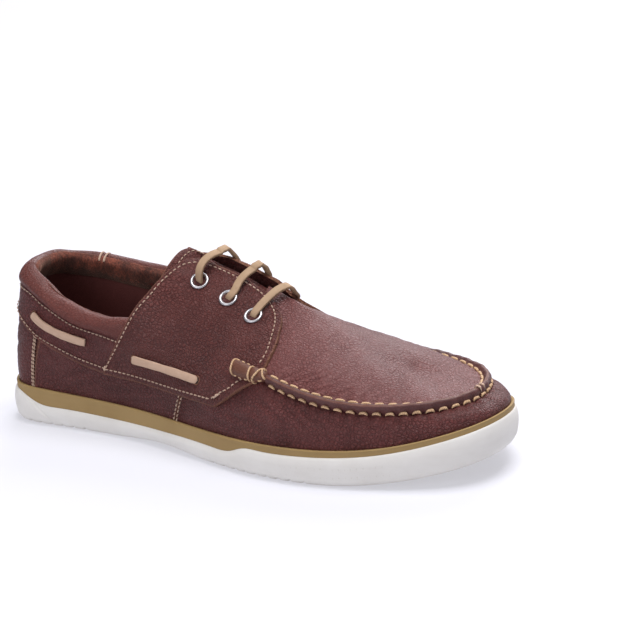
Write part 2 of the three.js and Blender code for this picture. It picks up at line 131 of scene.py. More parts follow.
def bell(x: Array, at: Array | float, width: float) -> Array:
    """Bell curve exp(-((x - at) / width)^2)."""
    return np.exp(-(((x - at) / width) ** 2))


def spread(values: Array, at: Array) -> Array:
    """Evenly spaced values read at shares from 0 to 1."""
    return np.interp(at, np.linspace(0, 1, len(values)), values)


def unit(v: Array) -> Array:
    """Vectors scaled to length one."""
    return v / np.maximum(np.linalg.norm(v, axis=-1, keepdims=True), 1e-12)


def circle(count: int) -> Array:
    """Angles once round, evenly spaced."""
    return np.linspace(0, TURN, count, endpoint=False)


def lengths(points: Array) -> Array:
    """Running length along a row of points."""
    return np.concatenate([[0.0], np.cumsum(np.linalg.norm(np.diff(points, axis=0), axis=1))])


def ticks(length: float, step: float) -> Array:
    """Shares 0 to 1 along a run: even steps, and ticks 0.1, 0.28 and 0.55 mm from each end for a rounded edge.

    Args:
        length: length of the run in mm.
        step: wanted step in mm.

    Returns:
        The growing shares.
    """
    even = np.linspace(0, 1, max(4, round(length / step)) + 1)
    near = np.array([0.1, 0.28, 0.55]) / length
    inside = even[(even > 0.9 / length) & (even < 1 - 0.9 / length)]
    return np.concatenate([[0.0], near, inside, 1 - near[::-1], [1.0]])


def ease_path(points: Array, count: int) -> Array:
    """Evenly spaced points on the smooth curve through a few points (cubic in the running length).

    Args:
        points: (n, 3) points.
        count: how many points to return.

    Returns:
        The points, (count, 3).
    """
    s = lengths(points)
    fine = np.linspace(0, s[-1], 40 * len(points))
    q = np.stack([Table(np.stack([s, points[:, k]], 1))(fine) for k in range(3)], 1)
    s2 = lengths(q)
    return read(q, s2, np.linspace(0, s2[-1], count))


def read(values: Array, s: Array, at: Array) -> Array:
    """Vectors given at running lengths s, read at other lengths."""
    return np.stack([np.interp(at, s, values[:, k]) for k in range(values.shape[1])], 1)


def ring(g: Array) -> Array:
    """The border of a grid, once round."""
    return np.concatenate([g[:, 0], g[-1, 1:], g[-2::-1, -1], g[0, -2:0:-1]])


# ---------------------------------------------------------------- the form


class Rib(NamedTuple):
    """One rib of the form, or an array of them."""

    foot: Array
    head: Array
    reach: Array
    top: Array
    seam: Array
    fold: Array


@dataclass
class Form:
    """The shape inside the shoe, with the sizes of the solid frame."""

    length: float = 296.0
    feather_inset: float = 3.0
    spine_back: float = 38.0
    spine_front: float = 232.0
    rise: float = 0.8
    heel_y: float = -1.5
    toe_y: float = 2.4
    outline: Rows = ((0.035, 27.5, 22.5), (0.1, 31.3, 31.5), (0.2, 31.0, 36.3), (0.32, 33.3, 37.0),
            (0.45, 42.3, 38.6),
                     (0.58, 51.5, 44.3), (0.68, 53.6, 50.5), (0.78, 49.2, 53.4), (0.87, 40.2, 49.2),
                     (0.94, 29.4, 38.4),
                     (0.985, 15.6, 21.8))
    feather_z: Table = field(default_factory=lambda: Table(((0, 22), (40, 19.8), (120, 17.2), (160, 17.3),
            (200, 18.2), (250, 21.6), (296, 33))))
    spine_z: Table = field(default_factory=lambda: Table(((30, 112), (75, 108), (95, 101.5), (110, 96), (130, 90),
            (150, 83.5), (165, 78), (180, 72.5), (200, 64.8), (215, 59), (235, 51))))
    spine_y: Table = field(default_factory=lambda: Table(((30, 2), (60, 4.5), (90, 8), (120, 10), (150, 8.5),
            (180, 6), (210, 4), (240, 3))))
    seam_z: Table = field(default_factory=lambda: Table(((100, 71), (130, 64), (150, 57), (190, 47), (230, 40.5),
            (262, 39), (290, 40))))
    seam_in: Table = field(default_factory=lambda: Table(((100, 0.5), (150, 0.32), (190, 0.185), (230, 0.125),
            (262, 0.155), (290, 0.21))))
    heel_lean: Table = field(default_factory=lambda: Table(((0, 0), (12, -0.2), (25, 1.2), (42, 4.3), (64, 9.6),
            (90, 14), (130, 18))))

    def __post_init__(self) -> None:
        """Make the outline's spline over the whole turn, wrapped a few rows past both ends."""
        u, out, inner = np.asarray(self.outline).T
        a = np.arccos(1 - 2 * u)
        at = np.concatenate([[0], a, [math.pi], TURN - a[::-1]])
        y = np.concatenate([[self.heel_y], -out, [self.toe_y], inner[::-1]])
        w = 5
        self.edge_y = Table(np.stack([np.concatenate([at[-w:] - TURN, at, at[:w] + TURN]),
                np.concatenate([y[-w:], y, y[:w]])], 1))

    def edge(self, psi: Array) -> Array:
        """Edge of the sole in plan: x = L (1 - cos psi) / 2, y from the outline."""
        p = np.mod(psi, TURN)
        return np.stack([self.length * (1 - np.cos(p)) / 2, self.edge_y(p)], -1)

    def outward(self, psi: Array) -> Array:
        """Unit normal of the sole's edge in plan, pointing out."""
        d = self.edge(np.asarray(psi) + 1e-3) - self.edge(np.asarray(psi) - 1e-3)
        return unit(np.stack([d[..., 1], -d[..., 0]], -1))

    def inset(self, psi: Array, by: Array | float) -> Array:
        """The edge of the sole moved in by a distance."""
        return self.edge(psi) - self.outward(psi) * np.asarray(by)[..., None]

    def rib(self, psi: Array) -> Rib:
        """Foot, head, reach, top height, climb of the apron seam and squareness of the ribs at psi. The squareness is
        such that the rib passes through the apron seam; round the heel it is nearly a wall.

        Args:
            psi: angles round the sole.

        Returns:
            The ribs.
        """
        foot = self.inset(psi, self.feather_inset)
        x = self.edge(psi)[..., 0]
        up = (x + self.spine_back + np.hypot(x - self.spine_back, 20)) / 2
        hx = (up + self.spine_front - np.hypot(up - self.spine_front, 20)) / 2
        head = np.stack([hx, self.spine_y(hx)], -1)
        reach = np.linalg.norm(foot - head, axis=-1)
        top = self.spine_z(hx)
        share_in = self.seam_in(np.clip(foot[..., 0], 100, 290))
        q = foot + (head - foot) * share_in[..., None]
        low = self.feather_z(q[..., 0])
        share = np.clip((self.seam_z(np.clip(q[..., 0], 100, 290)) - low) / (top - low), 0.02, 0.98)
        seam = np.arcsin(share ** (1 / self.rise))
        heel = 1 / (1 + np.exp((foot[..., 0] - 105) / 12))
        fold = np.log(1 - share_in) / np.log(np.cos(seam))
        return Rib(foot, head, reach, top, seam, fold * (1 - heel) + 0.1 * heel)

    def point(self, psi: Array, th: Array) -> Array:
        """Point of the form: plan place head + cos(th)^fold (foot - head), height low (1 - sin^rise) + top sin^rise,
        with the back of the heel leaning in.

        Args:
            psi: angles round the sole.
            th: climbs.

        Returns:
            The points, xyz last.
        """
        psi, th = np.broadcast_arrays(np.asarray(psi, float), np.asarray(th, float))
        r = self.rib(psi)
        across = np.maximum(np.cos(th), 0) ** r.fold
        up = np.maximum(np.sin(th), 0) ** self.rise
        q = r.head + (r.foot - r.head) * across[..., None]
        low = self.feather_z(q[..., 0])
        z = low * (1 - up) + r.top * up
        weight = np.clip(1 - (r.foot[..., 0] - 5) / 75, 0, 1) ** 2
        q = q - self.outward(psi) * (self.heel_lean(np.clip(z - low, 0, 130)) * weight)[..., None]
        return np.concatenate([q, z[..., None]], -1)

    def facing(self, psi: Array, th: Array) -> Array:
        """Outward unit normal of the form, eased into the spine's own normal at the crown.

        Args:
            psi: angles round the sole.
            th: climbs.

        Returns:
            The normals, xyz last.
        """
        psi, th = np.broadcast_arrays(np.asarray(psi, float), np.asarray(th, float))
        h = 1e-3
        t = np.clip(th, 0.004, 1.53)
        n = unit(np.cross(self.point(psi + h, t) - self.point(psi - h, t),
                self.point(psi, t + h) - self.point(psi, t - h)))
        x = self.rib(psi).head[..., 0]
        crown = unit(np.stack([-(self.spine_z(x + 1) - self.spine_z(x - 1)) / 2, 0 * x, 1 + 0 * x], -1))
        w = smooth(th, 1.46, 1.56)[..., None]
        return unit(n * (1 - w) + crown * w)

    def skin(self, psi: Array, th: Array, off: Array | float) -> Array:
        """Points at a distance off the form."""
        return (self.point(psi, th) + self.facing(psi, th) * np.broadcast_to(np.asarray(off, float),
                np.broadcast(psi, th).shape)[..., None])

    def climb_to(self, psi: Array, z: Array | float) -> Array:
        """Climb at which the rib reaches height z, by four rounds of asin((z - low) / (top - low))^(1 / rise).

        Args:
            psi: angles round the sole.
            z: heights in mm.

        Returns:
            The climbs.
        """
        r = self.rib(psi)
        th = np.full(np.shape(psi), 0.5)
        for _ in range(4):
            low = self.feather_z(r.head[..., 0] + (r.foot[..., 0] - r.head[..., 0]) * np.cos(th) ** r.fold)
            th = np.arcsin(np.clip((np.asarray(z) - low) / (r.top - low), 0, 1) ** (1 / self.rise))
        return th

    def up_rib(self, psi: Array, th: Array) -> Array:
        """Unit direction up the rib."""
        return unit(self.point(psi, th + 0.02) - self.point(psi, th - 0.02))

    @staticmethod
    def turn(side: Side, phi: Array | float) -> Array:
        """Angle round the sole of an angle phi counted from the heel on one side."""
        return np.asarray(phi, float) if side is Side.OUTER else TURN - np.asarray(phi, float)

    def run(self, side: Side, rows: Rows, count: int = 0, step: float = 1.0) -> Pair:
        """psi and th evenly spaced along a smooth line through rows of (phi, climb).

        Args:
            side: which flank the rows are on.
            rows: (phi, climb) rows.
            count: number of places; 0 takes it from step.
            step: wanted spacing in mm.

        Returns:
            psi and th.
        """
        phi, th = np.asarray(rows, float).T
        s = lengths(self.point(self.turn(side, phi), th))
        fine = np.linspace(0, s[-1], 60 * len(s))
        a, t = (Table(np.stack([s, v], 1))(fine) for v in (phi, th))
        s2 = lengths(self.point(self.turn(side, a), t))
        want = np.linspace(0, s2[-1], count or max(2, round(s2[-1] / step) + 1))
        return self.turn(side, np.interp(want, s2, a)), np.interp(want, s2, t)

    def line(self, side: Side, rows: Rows, off: float = 0.0) -> Array:
        """Dense points along rows of (phi, climb), a distance off the form."""
        return self.skin(*self.run(side, rows, step=0.5), off)

    def heights(self, rows: Rows) -> list[tuple[float, float]]:
        """Rows of (phi, height) as rows of (phi, climb), measured on the outer side."""
        phi, z = np.asarray(rows, float).T
        return list(zip(phi.tolist(), self.climb_to(phi, z).tolist()))


# ---------------------------------------------------------------- meshes


@dataclass
class Patches:
    """Grids of points gathered into one mesh, with a UV map in metres and float attributes."""

    verts: list[Array] = field(default_factory=list)
    faces: list[Array] = field(default_factory=list)
    uvs: list[Array] = field(default_factory=list)
    marks: dict[str, list[Array]] = field(default_factory=dict)
    count: int = 0

    def grid(self, points: Array, closed_u: bool = False, closed_v: bool = False, flip: bool = False,
             uv: Pair | None = None, **marks: Array | float) -> "Patches":
        """Add a grid of quads.

        Args:
            points: (nu, nv, 3) in mm; the normal is along du x dv.
            closed_u: join the last row to the first.
            closed_v: join the last column to the first.
            flip: turn the faces over.
            uv: mm along u and along v, one longer where that way is closed; counts where it is missing.
            marks: attribute values per point.

        Returns:
            The mesh itself.
        """
        nu, nv = points.shape[:2]
        i, j = np.meshgrid(np.arange(nu - (not closed_u)), np.arange(nv - (not closed_v)), indexing="ij")
        corner = [(i, j), (i + 1, j), (i + 1, j + 1), (i, j + 1)]
        if flip:
            corner = corner[::-1]
        face = np.stack([(a % nu) * nv + b % nv for a, b in corner], -1).reshape(-1, 4)
        du, dv = uv if uv else (np.arange(nu + 1.0), np.arange(nv + 1.0))
        place = np.stack([np.stack([du[a], dv[b]], -1) for a, b in corner], -2).reshape(-1, 2) / 1000
        self.verts.append(points.reshape(-1, 3))
        self.faces.append(face + self.count)
        self.uvs.append(place)
        n = nu * nv
        for key in {*self.marks, *marks}:
            kept = self.marks.setdefault(key, [np.zeros(self.count)] if self.count else [])
            kept.append(np.broadcast_to(np.asarray(marks.get(key, 0.0), float), (nu, nv)).reshape(n))
        self.count += n
        return self

    def sheet(self, face: Array, back: Array, uv: Pair | None = None, turned: bool = False,
              **marks: Array | float) -> "Patches":
        """Add a closed sheet: a face, its back and the walls round their border.

        Args:
            face: (nu, nv, 3) seen side.
            back: the same for the hidden side.
            uv: map of the face.
            turned: the face's normal is against du x dv.
            marks: attribute values of the face; the walls take those of the border.

        Returns:
            The mesh itself.
        """
        full = {k: np.broadcast_to(np.asarray(v, float), face.shape[:2]) for k, v in marks.items()}
        self.grid(face, uv=uv, flip=turned, **full)
        self.grid(back, uv=uv, flip=not turned)
        return self.grid(np.stack([ring(back), ring(face)], 1), closed_u=True, flip=turned,
                **{k: ring(v)[:, None] for k, v in full.items()})

    def caps(self, pts: Array, turned: bool, raw: float = 0.0) -> "Patches":
        """Close both ends of a tube of points with fans; turned is the flip of the first one.

        Args:
            pts: (n, k, 3) tube.
            turned: flip of the first fan.
            raw: how cut the ends look.

        Returns:
            The mesh itself.
        """
        for k, over in ((0, turned), (-1, not turned)):
            self.grid(np.stack([np.repeat(pts[k].mean(0)[None], pts.shape[1], 0), pts[k]]), closed_v=True, flip=over,
                      raw=raw)
        return self

    def object(self, name: str, weld: float = 0.0) -> bpy.types.Object:
        """Write the mesh in metres in the frame's place, smooth, as an object at the origin.

        Args:
            name: object name.
            weld: merge points closer than this many mm.

        Returns:
            The object.
        """
        verts = (np.concatenate(self.verts) + SHIFT) / 1000
        faces = np.concatenate(self.faces)
        mesh = bpy.data.meshes.new(name)
        mesh.from_pydata(verts.tolist(), [], faces.tolist())
        layer = mesh.uv_layers.new(name="UVMap")
        layer.data.foreach_set("uv", np.concatenate(self.uvs).astype(np.float32).ravel())
        for key, parts in self.marks.items():
            mark = mesh.attributes.new(key, "FLOAT", "POINT")
            mark.data.foreach_set("value", np.concatenate(parts).astype(np.float32))
        if weld:
            bm = bmesh.new()
            bm.from_mesh(mesh)
            bmesh.ops.remove_doubles(bm, verts=bm.verts, dist=weld / 1000)
            bmesh.ops.dissolve_degenerate(bm, edges=bm.edges, dist=1e-8)
            bm.to_mesh(mesh)
            bm.free()
        mesh.shade_smooth()
        obj = bpy.data.objects.new(name, mesh)
        bpy.context.scene.collection.objects.link(obj)
        return obj


def finish_piece(obj: bpy.types.Object, look: bpy.types.Material, slot: str, *nodes: str) -> bpy.types.Object:
    """Give a piece its material, hide the solids it stands for, and let it ride on the shoe.

    Args:
        obj: the piece.
        look: its material.
        slot: its slot; not used.
        nodes: names of the solids it stands for.

    Returns:
        The piece.
    """
    obj.data.materials.clear()
    obj.data.materials.append(look)
    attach(obj, "root")
    if nodes:
        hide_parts(*nodes)
    obj.data.calc_loop_triangles()
    LOG.info("%s: %d triangles", obj.name, len(obj.data.loop_triangles))
    return obj


SHIFT = np.array([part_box("outsole")[0].x * 1000, 0.16, 0.0])


# ---------------------------------------------------------------- reliefs


def nearest(at: Array, line: Array) -> Pair:
    """Distance from each point to a dense line of points, and the running length there.

    Args:
        at: (n, 3) points.
        line: (k, 3) points.

    Returns:
        The distances and the running lengths.
    """
    d2 = (at**2).sum(1)[:, None] + (line**2).sum(1)[None] - 2 * at @ line.T
    k = np.argmin(d2, 1)
    return np.sqrt(np.maximum(d2[np.arange(len(at)), k], 0)), lengths(line)[k]


@dataclass(frozen=True)
class Groove:
    """A line pressed into leather: -depth exp(-(d/w)^2) + lip exp(-((d - 2.1 w)/w)^2), fading to its ends."""

    line: Array
    depth: float
    width: float
    lip: float = 0.0
    fade: bool = True

    def __call__(self, at: Array) -> Array:
        """Height change at each point.

        Args:
            at: (n, 3) points.

        Returns:
            The changes in mm.
        """
        d, s = nearest(at, self.line)
        total = lengths(self.line)[-1]
        end = np.sin(math.pi * np.clip(s / total, 0.0, 1)) ** 0.6 if self.fade else 1.0
        return end * (self.lip * bell(d, 2.1 * self.width, self.width) - self.depth * bell(d, 0, self.width))


@dataclass(frozen=True)
class Puckers:
    """Gathers beside a stitch row: height cos(2 pi s / pitch) exp(-(d / reach)^2)."""

    line: Array
    pitch: float
    height: float
    reach: float

    def __call__(self, at: Array) -> Array:
        """Height change at each point.

        Args:
            at: (n, 3) points.

        Returns:
            The changes in mm.
        """
        d, s = nearest(at, self.line)
        return self.height * np.cos(TURN * s / self.pitch) * bell(d, 0, self.reach)


@dataclass(frozen=True)
class Unevenness:
    """Slow unevenness of hand-pulled leather: a sum of five slanted sines."""

    height: float
    seed: int

    def __call__(self, at: Array) -> Array:
        """Height change at each point.

        Args:
            at: (n, 3) points.

        Returns:
            The changes in mm.
        """
        rng = np.random.default_rng(self.seed)
        k = rng.normal(size=(5, 3)) * TURN / rng.uniform(14, 34, size=(5, 1))
        return self.height * np.sin(at @ k.T + rng.uniform(0, TURN, 5)).sum(1) / 1.8


@dataclass(frozen=True)
class Pebbles:
    """Milled grain: cells about seeded points of a jittered lattice, domed between their valleys. The height is
    h (min(F2 - F1, k) / k - 1) with F1 and F2 the distances to the two nearest seeds and k 0.55 of a cell."""

    height: float = 0.18
    cell: float = 2.2

    def __call__(self, at: Array) -> Array:
        """Height change at each point, stronger in patches.

        Args:
            at: (n, 3) points.

        Returns:
            The changes in mm.
        """
        q = at / self.cell + 0.35 * np.sin(at[:, [1, 2, 0]] * 0.9)
        base = np.floor(q)
        near = np.full((2, len(at)), 9.0)
        for step in np.stack(np.meshgrid(*[[-1, 0, 1]] * 3), -1).reshape(-1, 3):
            home = base + step
            seed = np.stack([np.modf(np.abs(np.sin(home @ np.array(k)) * 43758.5))[0] for k in
                             ((12.99, 78.23, 37.72), (39.35, 11.14, 83.16), (73.16, 52.24, 9.15))], 1)
            d = np.linalg.norm(home + 0.15 + 0.7 * seed - q, axis=1)
            near = np.sort(np.stack([*near, d]), 0)[:2]
        patch = 0.6 + 0.4 * np.sin(at[:, 0] * 0.11 + 1.3 * np.sin(at[:, 2] * 0.13)) * np.sin(at[:, 1] * 0.17 + 0.8)
        return self.height * patch * (np.minimum((near[1] - near[0]) / 0.55, 1) - 1)


Relief = Callable[[Array], Array]


def wear(height: float, seed: int) -> list[Relief]:
    """Reliefs that every panel shares: slow unevenness and grain."""
    return [Unevenness(height, seed), Pebbles()]


def slab(form: Form, psi: Array, th: Array, over: Array | float, under: Array | float, reliefs: Sequence[Relief] = (),
         cut: tuple[bool, bool, bool, bool] = (True, True, True, True), rim: float = 0.55) -> Patches:
    """A sheet of leather on the form, closed: outer face, inner face and the walls between.

    The outer face lies over the form, lowered near a cut edge by rim - sqrt(rim^2 - (rim - d)^2).

    Args:
        form: the form it lies on.
        psi: (nu, nv) angles, growing along u.
        th: (nu, nv) climbs, growing along v.
        over: distance of the outer face.
        under: distance of the inner face.
        reliefs: height changes added to the outer face.
        cut: which edges are cut and rounded: first u, last u, first v, last v.
        rim: radius of a cut edge.

    Returns:
        The gathered mesh.
    """
    p, n = form.point(psi, th), form.facing(psi, th)
    nu, nv = psi.shape
    zero = np.zeros((1, nv))
    su = np.concatenate([zero, np.cumsum(np.linalg.norm(np.diff(p, axis=0), axis=2), axis=0)])
    sv = np.concatenate([np.zeros((nu, 1)), np.cumsum(np.linalg.norm(np.diff(p, axis=1), axis=2), axis=1)], 1)
    far = np.full((nu, nv), 99.0)
    edges = [su, su[-1:] - su, sv, sv[:, -1:] - sv]
    d = np.minimum.reduce([e if c else far for e, c in zip(edges, cut)])
    drop = rim - np.sqrt(np.maximum(rim**2 - np.clip(rim - d, 0, rim) ** 2, 0))
    flat = p.reshape(-1, 3)
    change = sum((r(flat).reshape(nu, nv) for r in reliefs), np.zeros((nu, nv)))
    outer = p + n * (np.broadcast_to(over, (nu, nv)) - drop + change)[..., None]
    inner = p + n * np.broadcast_to(under, (nu, nv))[..., None]
    raw = np.clip(1.2 - d / 0.85, 0, 1)
    uv = (su[:, nv // 2], sv[nu // 2])
    return Patches().sheet(outer, inner, uv, raw=raw, dent=change)


def coons(bottom: Pair, top: Pair, left: Pair, right: Pair,
          u: Array, v: Array) -> Pair:
    """A grid of places spanned between four edge lines: the two ruled sheets added, less the four-corner sheet.

    Args:
        bottom: psi and th along u at v = 0, evenly spaced.
        top: the same at v = 1.
        left: psi and th along v at u = 0.
        right: the same at u = 1.
        u: shares along u.
        v: shares along v.

    Returns:
        psi and th, each (len(u), len(v)).
    """
    out = []
    for k in range(2):
        b, t = spread(bottom[k], u)[:, None], spread(top[k], u)[:, None]
        l, r = spread(left[k], v)[None], spread(right[k], v)[None]
        uu, vv = u[:, None], v[None]
        corners = (1 - uu) * (1 - vv) * b[0] + uu * (1 - vv) * b[-1] + (1 - uu) * vv * t[0] + uu * vv * t[-1]
        out.append((1 - vv) * b + vv * t + (1 - uu) * l + uu * r - corners)
    return out[0], out[1]


# ---------------------------------------------------------------- threads


@dataclass(frozen=True)
class Stitch:
    """One lockstitch: a thread that arches out of one hole and into the next."""

    pitch: float = 2.6
    share: float = 0.72
    radius: float = 0.36
    lift: float = 0.25
    sink: float = 0.45
    slant: float = 0.0

    def sew(self, mesh: Patches, centre: Array, along: Array, facing: Array, length: Array | float) -> None:
        """Add stitches to a mesh. Across a stitch at share a from -1 to 1 the radius is r sqrt(1 - a^6), the height
        lift - (lift + sink) a^4.

        Args:
            mesh: mesh to add to.
            centre: (n, 3) middles on the leather.
            along: (n, 3) directions.
            facing: (n, 3) normals.
            length: lengths in mm.
        """
        n = len(centre)
        across = unit(np.cross(facing, along))
        along = unit(along + across * self.slant)
        across = unit(np.cross(facing, along))
        a = np.array([-1.0, -0.9, -0.55, 0.0, 0.55, 0.9, 1.0])
        ang = circle(6)
        half = np.broadcast_to(np.asarray(length) / 2, (n,))
        rad = self.radius * np.sqrt(np.maximum(1 - a**6, 0))
        up = self.lift - (self.lift + self.sink) * a**4
        middle, ahead, out, beside = (v[:, None, None, :] for v in (centre, along, facing, across))
        pts = (middle + ahead * (half[:, None, None, None] * a[None, :, None, None])
               + out * (up[None, :, None] + rad[None, :, None] * np.sin(ang)[None, None])[..., None]
               + beside * (rad[None, :, None] * np.cos(ang)[None, None])[..., None])
        m, k = len(a), len(ang)
        i, j = np.meshgrid(np.arange(m - 1), np.arange(k), indexing="ij")
        corner = [(i, j), (i, j + 1), (i + 1, j + 1), (i + 1, j)]
        face = np.stack([q * k + w % k for q, w in corner], -1).reshape(-1, 4)
        place = (np.stack([np.stack([(a[q] + 1) / 2 * self.pitch * self.share, w * 1.0], -1) for q, w in corner],
                -2).reshape(-1, 2) / 1000)
        mesh.verts.append(pts.reshape(-1, 3))
        mesh.faces.append((face[None] + (np.arange(n) * m * k)[:, None, None]).reshape(-1, 4) + mesh.count)
        mesh.uvs.append(np.tile(place, (n, 1)))
        mesh.count += n * m * k

    def row(self, mesh: Patches, form: Form, side: Side, rows: Rows, off: float | Callable[[Array, Array], Array],
            shift: float = 0.0) -> Array:
        """Sew one row along a line on the form.

        Args:
            mesh: mesh to add to.
            form: the form.
            side: flank of the rows.
            rows: (phi, climb) rows.
            off: height of the leather over the form, or a function of psi and th.
            shift: move the row sideways on the leather by this many mm.

        Returns:
            The dense line of points on the leather, for grooves.
        """
        psi, th = form.run(side, rows, step=0.4)
        h = off(psi, th) if callable(off) else off
        p, n = form.skin(psi, th, h), form.facing(psi, th)
        t = unit(np.gradient(p, axis=0))
        if shift:
            p = p + unit(np.cross(n, t)) * shift
        s = lengths(p)
        count = max(1, round(s[-1] / self.pitch))
        mid = (np.arange(count) + 0.5) * s[-1] / count
        self.sew(mesh, read(p, s, mid), unit(read(t, s, mid)), unit(read(n, s, mid)), self.share * s[-1] / count)
        return p


FINE = Stitch(pitch=2.55, share=0.74, radius=0.33, lift=0.16)
SADDLE = Stitch(pitch=2.9, share=0.7, radius=0.36, lift=0.2)
FINE_MAIN = Stitch(pitch=2.7, share=0.74, radius=0.35, lift=0.18)
TWIN = Stitch(pitch=2.1, share=0.95, radius=0.44, lift=0.25, slant=0.45)
THICK_TAB = Stitch(pitch=3.2, share=0.8, radius=0.5, lift=0.2, sink=0.5)


def tube(path: Array, radius: Array | float, sides: int = 8, closed: bool = False) -> Array:
    """Round cord along a path: points p + r (n cos + b sin), with n and b carried from a fixed direction.

    Args:
        path: (n, 3) points.
        radius: radius, or one for each point.
        sides: points round the cord.
        closed: the path is a loop.

    Returns:
        (n, sides, 3) grid.
    """
    t = unit(np.roll(path, -1, 0) - np.roll(path, 1, 0)) if closed else unit(np.gradient(path, axis=0))
    ref = np.broadcast_to(np.array([0.31, 0.2, 0.93]), path.shape)
    b = unit(np.cross(t, ref))
    n = np.cross(b, t)
    a = circle(sides)
    r = np.broadcast_to(radius, len(path))[:, None, None]
    return path[:, None] + r * (n[:, None] * np.cos(a)[None, :, None] + b[:, None] * np.sin(a)[None, :, None])


# ---------------------------------------------------------------- finishes


class Sock:
    """A shader output that takes part in sums: each operator adds its Math node."""

    def __init__(self, graph: "Graph", out: bpy.types.NodeSocket) -> None:
        """Wrap one output of the graph."""
        self.graph, self.out = graph, out

    def _maths(self, operation: str, a: "Sock | float", b: "Sock | float" = 0.0) -> "Sock":
        """One Math node on two values."""
        return self.graph.node("ShaderNodeMath", {"operation": operation}, {0: a, 1: b})

    def __add__(self, other: "Sock | float") -> "Sock":
        """Sum."""
        return self._maths("ADD", self, other)

    def __sub__(self, other: "Sock | float") -> "Sock":
        """Difference."""
        return self._maths("SUBTRACT", self, other)

    def __rsub__(self, other: float) -> "Sock":
        """Number less a socket."""
        return self._maths("SUBTRACT", other, self)

    def __mul__(self, other: "Sock | float") -> "Sock":
        """Product."""
        return self._maths("MULTIPLY", self, other)

    __radd__ = __add__
    __rmul__ = __mul__

    def clamp(self) -> "Sock":
        """Held between 0 and 1."""
        return self.graph.node("ShaderNodeClamp", {}, {"Value": self})

    def step(self, lo: float, hi: float) -> "Sock":
        """Smooth step from lo to hi."""
        return self.graph.node("ShaderNodeMapRange", {"interpolation_type": "SMOOTHSTEP"},
                {"Value": self, "From Min": lo, "From Max": hi})


class Graph:
    """The node tree of one finish."""

    def __init__(self, name: str) -> None:
        """Start a material with a Principled shader.

        Args:
            name: name of the material.
        """
        self.material = bpy.data.materials.new(name)
        self.material.use_nodes = True
        self.tree = self.material.node_tree
        self.tree.nodes.clear()
        self.shader = self.tree.nodes.new("ShaderNodeBsdfPrincipled")
        out = self.tree.nodes.new("ShaderNodeOutputMaterial")
        self.tree.links.new(self.shader.outputs[0], out.inputs["Surface"])

    def put(self, socket: bpy.types.NodeSocket, value: Any) -> None:
        """Link a socket or set its value.

        Args:
            socket: input to fill.
            value: a Sock to link, or a constant.
        """
        if isinstance(value, Sock):
            self.tree.links.new(value.out, socket)
        else:
            socket.default_value = ((*value, 1.0) if isinstance(value,
                    tuple) and len(value) == 3 and socket.type == "RGBA" else value)

    def node(self, kind: str, settings: dict[str, Any], inputs: dict[str | int, Any], out: str | int = 0) -> Sock:
        """Add a node: its settings first, then its sockets.

        Args:
            kind: node type.
            settings: properties of the node.
            inputs: values or links by socket name or number.
            out: which output to return.

        Returns:
            The output.
        """
        made = self.tree.nodes.new(kind)
        for key, value in settings.items():
            setattr(made, key, value)
        for key, value in inputs.items():
            self.put(made.inputs[key], value)
        return Sock(self, made.outputs[out])

    def coords(self) -> Sock:
        """Object coordinates, in metres."""
        return self.node("ShaderNodeTexCoord", {}, {}, "Object")

    def mark(self, name: str) -> Sock:
        """A float attribute of the piece."""
        return self.node("ShaderNodeAttribute", {"attribute_name": name}, {}, "Fac")

    def noise(self, at: Sock, scale: float, detail: float = 2.0, rough: float = 0.5, out: str = "Fac") -> Sock:
        """Noise at a scale per metre."""
        return self.node("ShaderNodeTexNoise", {}, {"Vector": at, "Scale": scale, "Detail": detail,
                "Roughness": rough}, out)

    def stretch(self, at: Sock, scale: tuple[float, float, float],
                turn: tuple[float, float, float] = (0.0, 0.0, 0.0)) -> Sock:
        """Coordinates turned and scaled."""
        return self.node("ShaderNodeMapping", {}, {"Vector": at, "Rotation": turn, "Scale": scale})

    def warp(self, at: Sock, scale: float, by: float) -> Sock:
        """Coordinates pushed about by noise.

        Args:
            at: coordinates.
            scale: scale of the noise per metre.
            by: strength of the push in metres.

        Returns:
            The pushed coordinates.
        """
        push = self.noise(at, scale, 2.0, 0.5, "Color")
        centred = self.node("ShaderNodeVectorMath", {"operation": "SUBTRACT"}, {0: push, 1: (0.5, 0.5, 0.5)})
        scaled = self.node("ShaderNodeVectorMath", {"operation": "SCALE"}, {0: centred, "Scale": by})
        return self.node("ShaderNodeVectorMath", {"operation": "ADD"}, {0: at, 1: scaled})

    def blend(self, share: Sock | float, a: Sock | Colour, b: Sock | Colour) -> Sock:
        """Two colours mixed."""
        return self.node("ShaderNodeMix", {"data_type": "RGBA", "blend_type": "MIX"}, {0: share, 6: a, 7: b}, 2)

    def bump(self, height: Sock, distance: float, strength: float) -> Sock:
        """A bump of a height field, its distance in metres."""
        return self.node("ShaderNodeBump", {}, {"Height": height, "Distance": distance, "Strength": strength})

    def dress(self, **sockets: Any) -> bpy.types.Material:
        """Set the shader's sockets by name, underscores for spaces, and return the material.

        Args:
            sockets: values or links by socket name.

        Returns:
            The material.
        """
        for key, value in sockets.items():
            self.put(self.shader.inputs[key.replace("_", " ")], value)
        return self.material


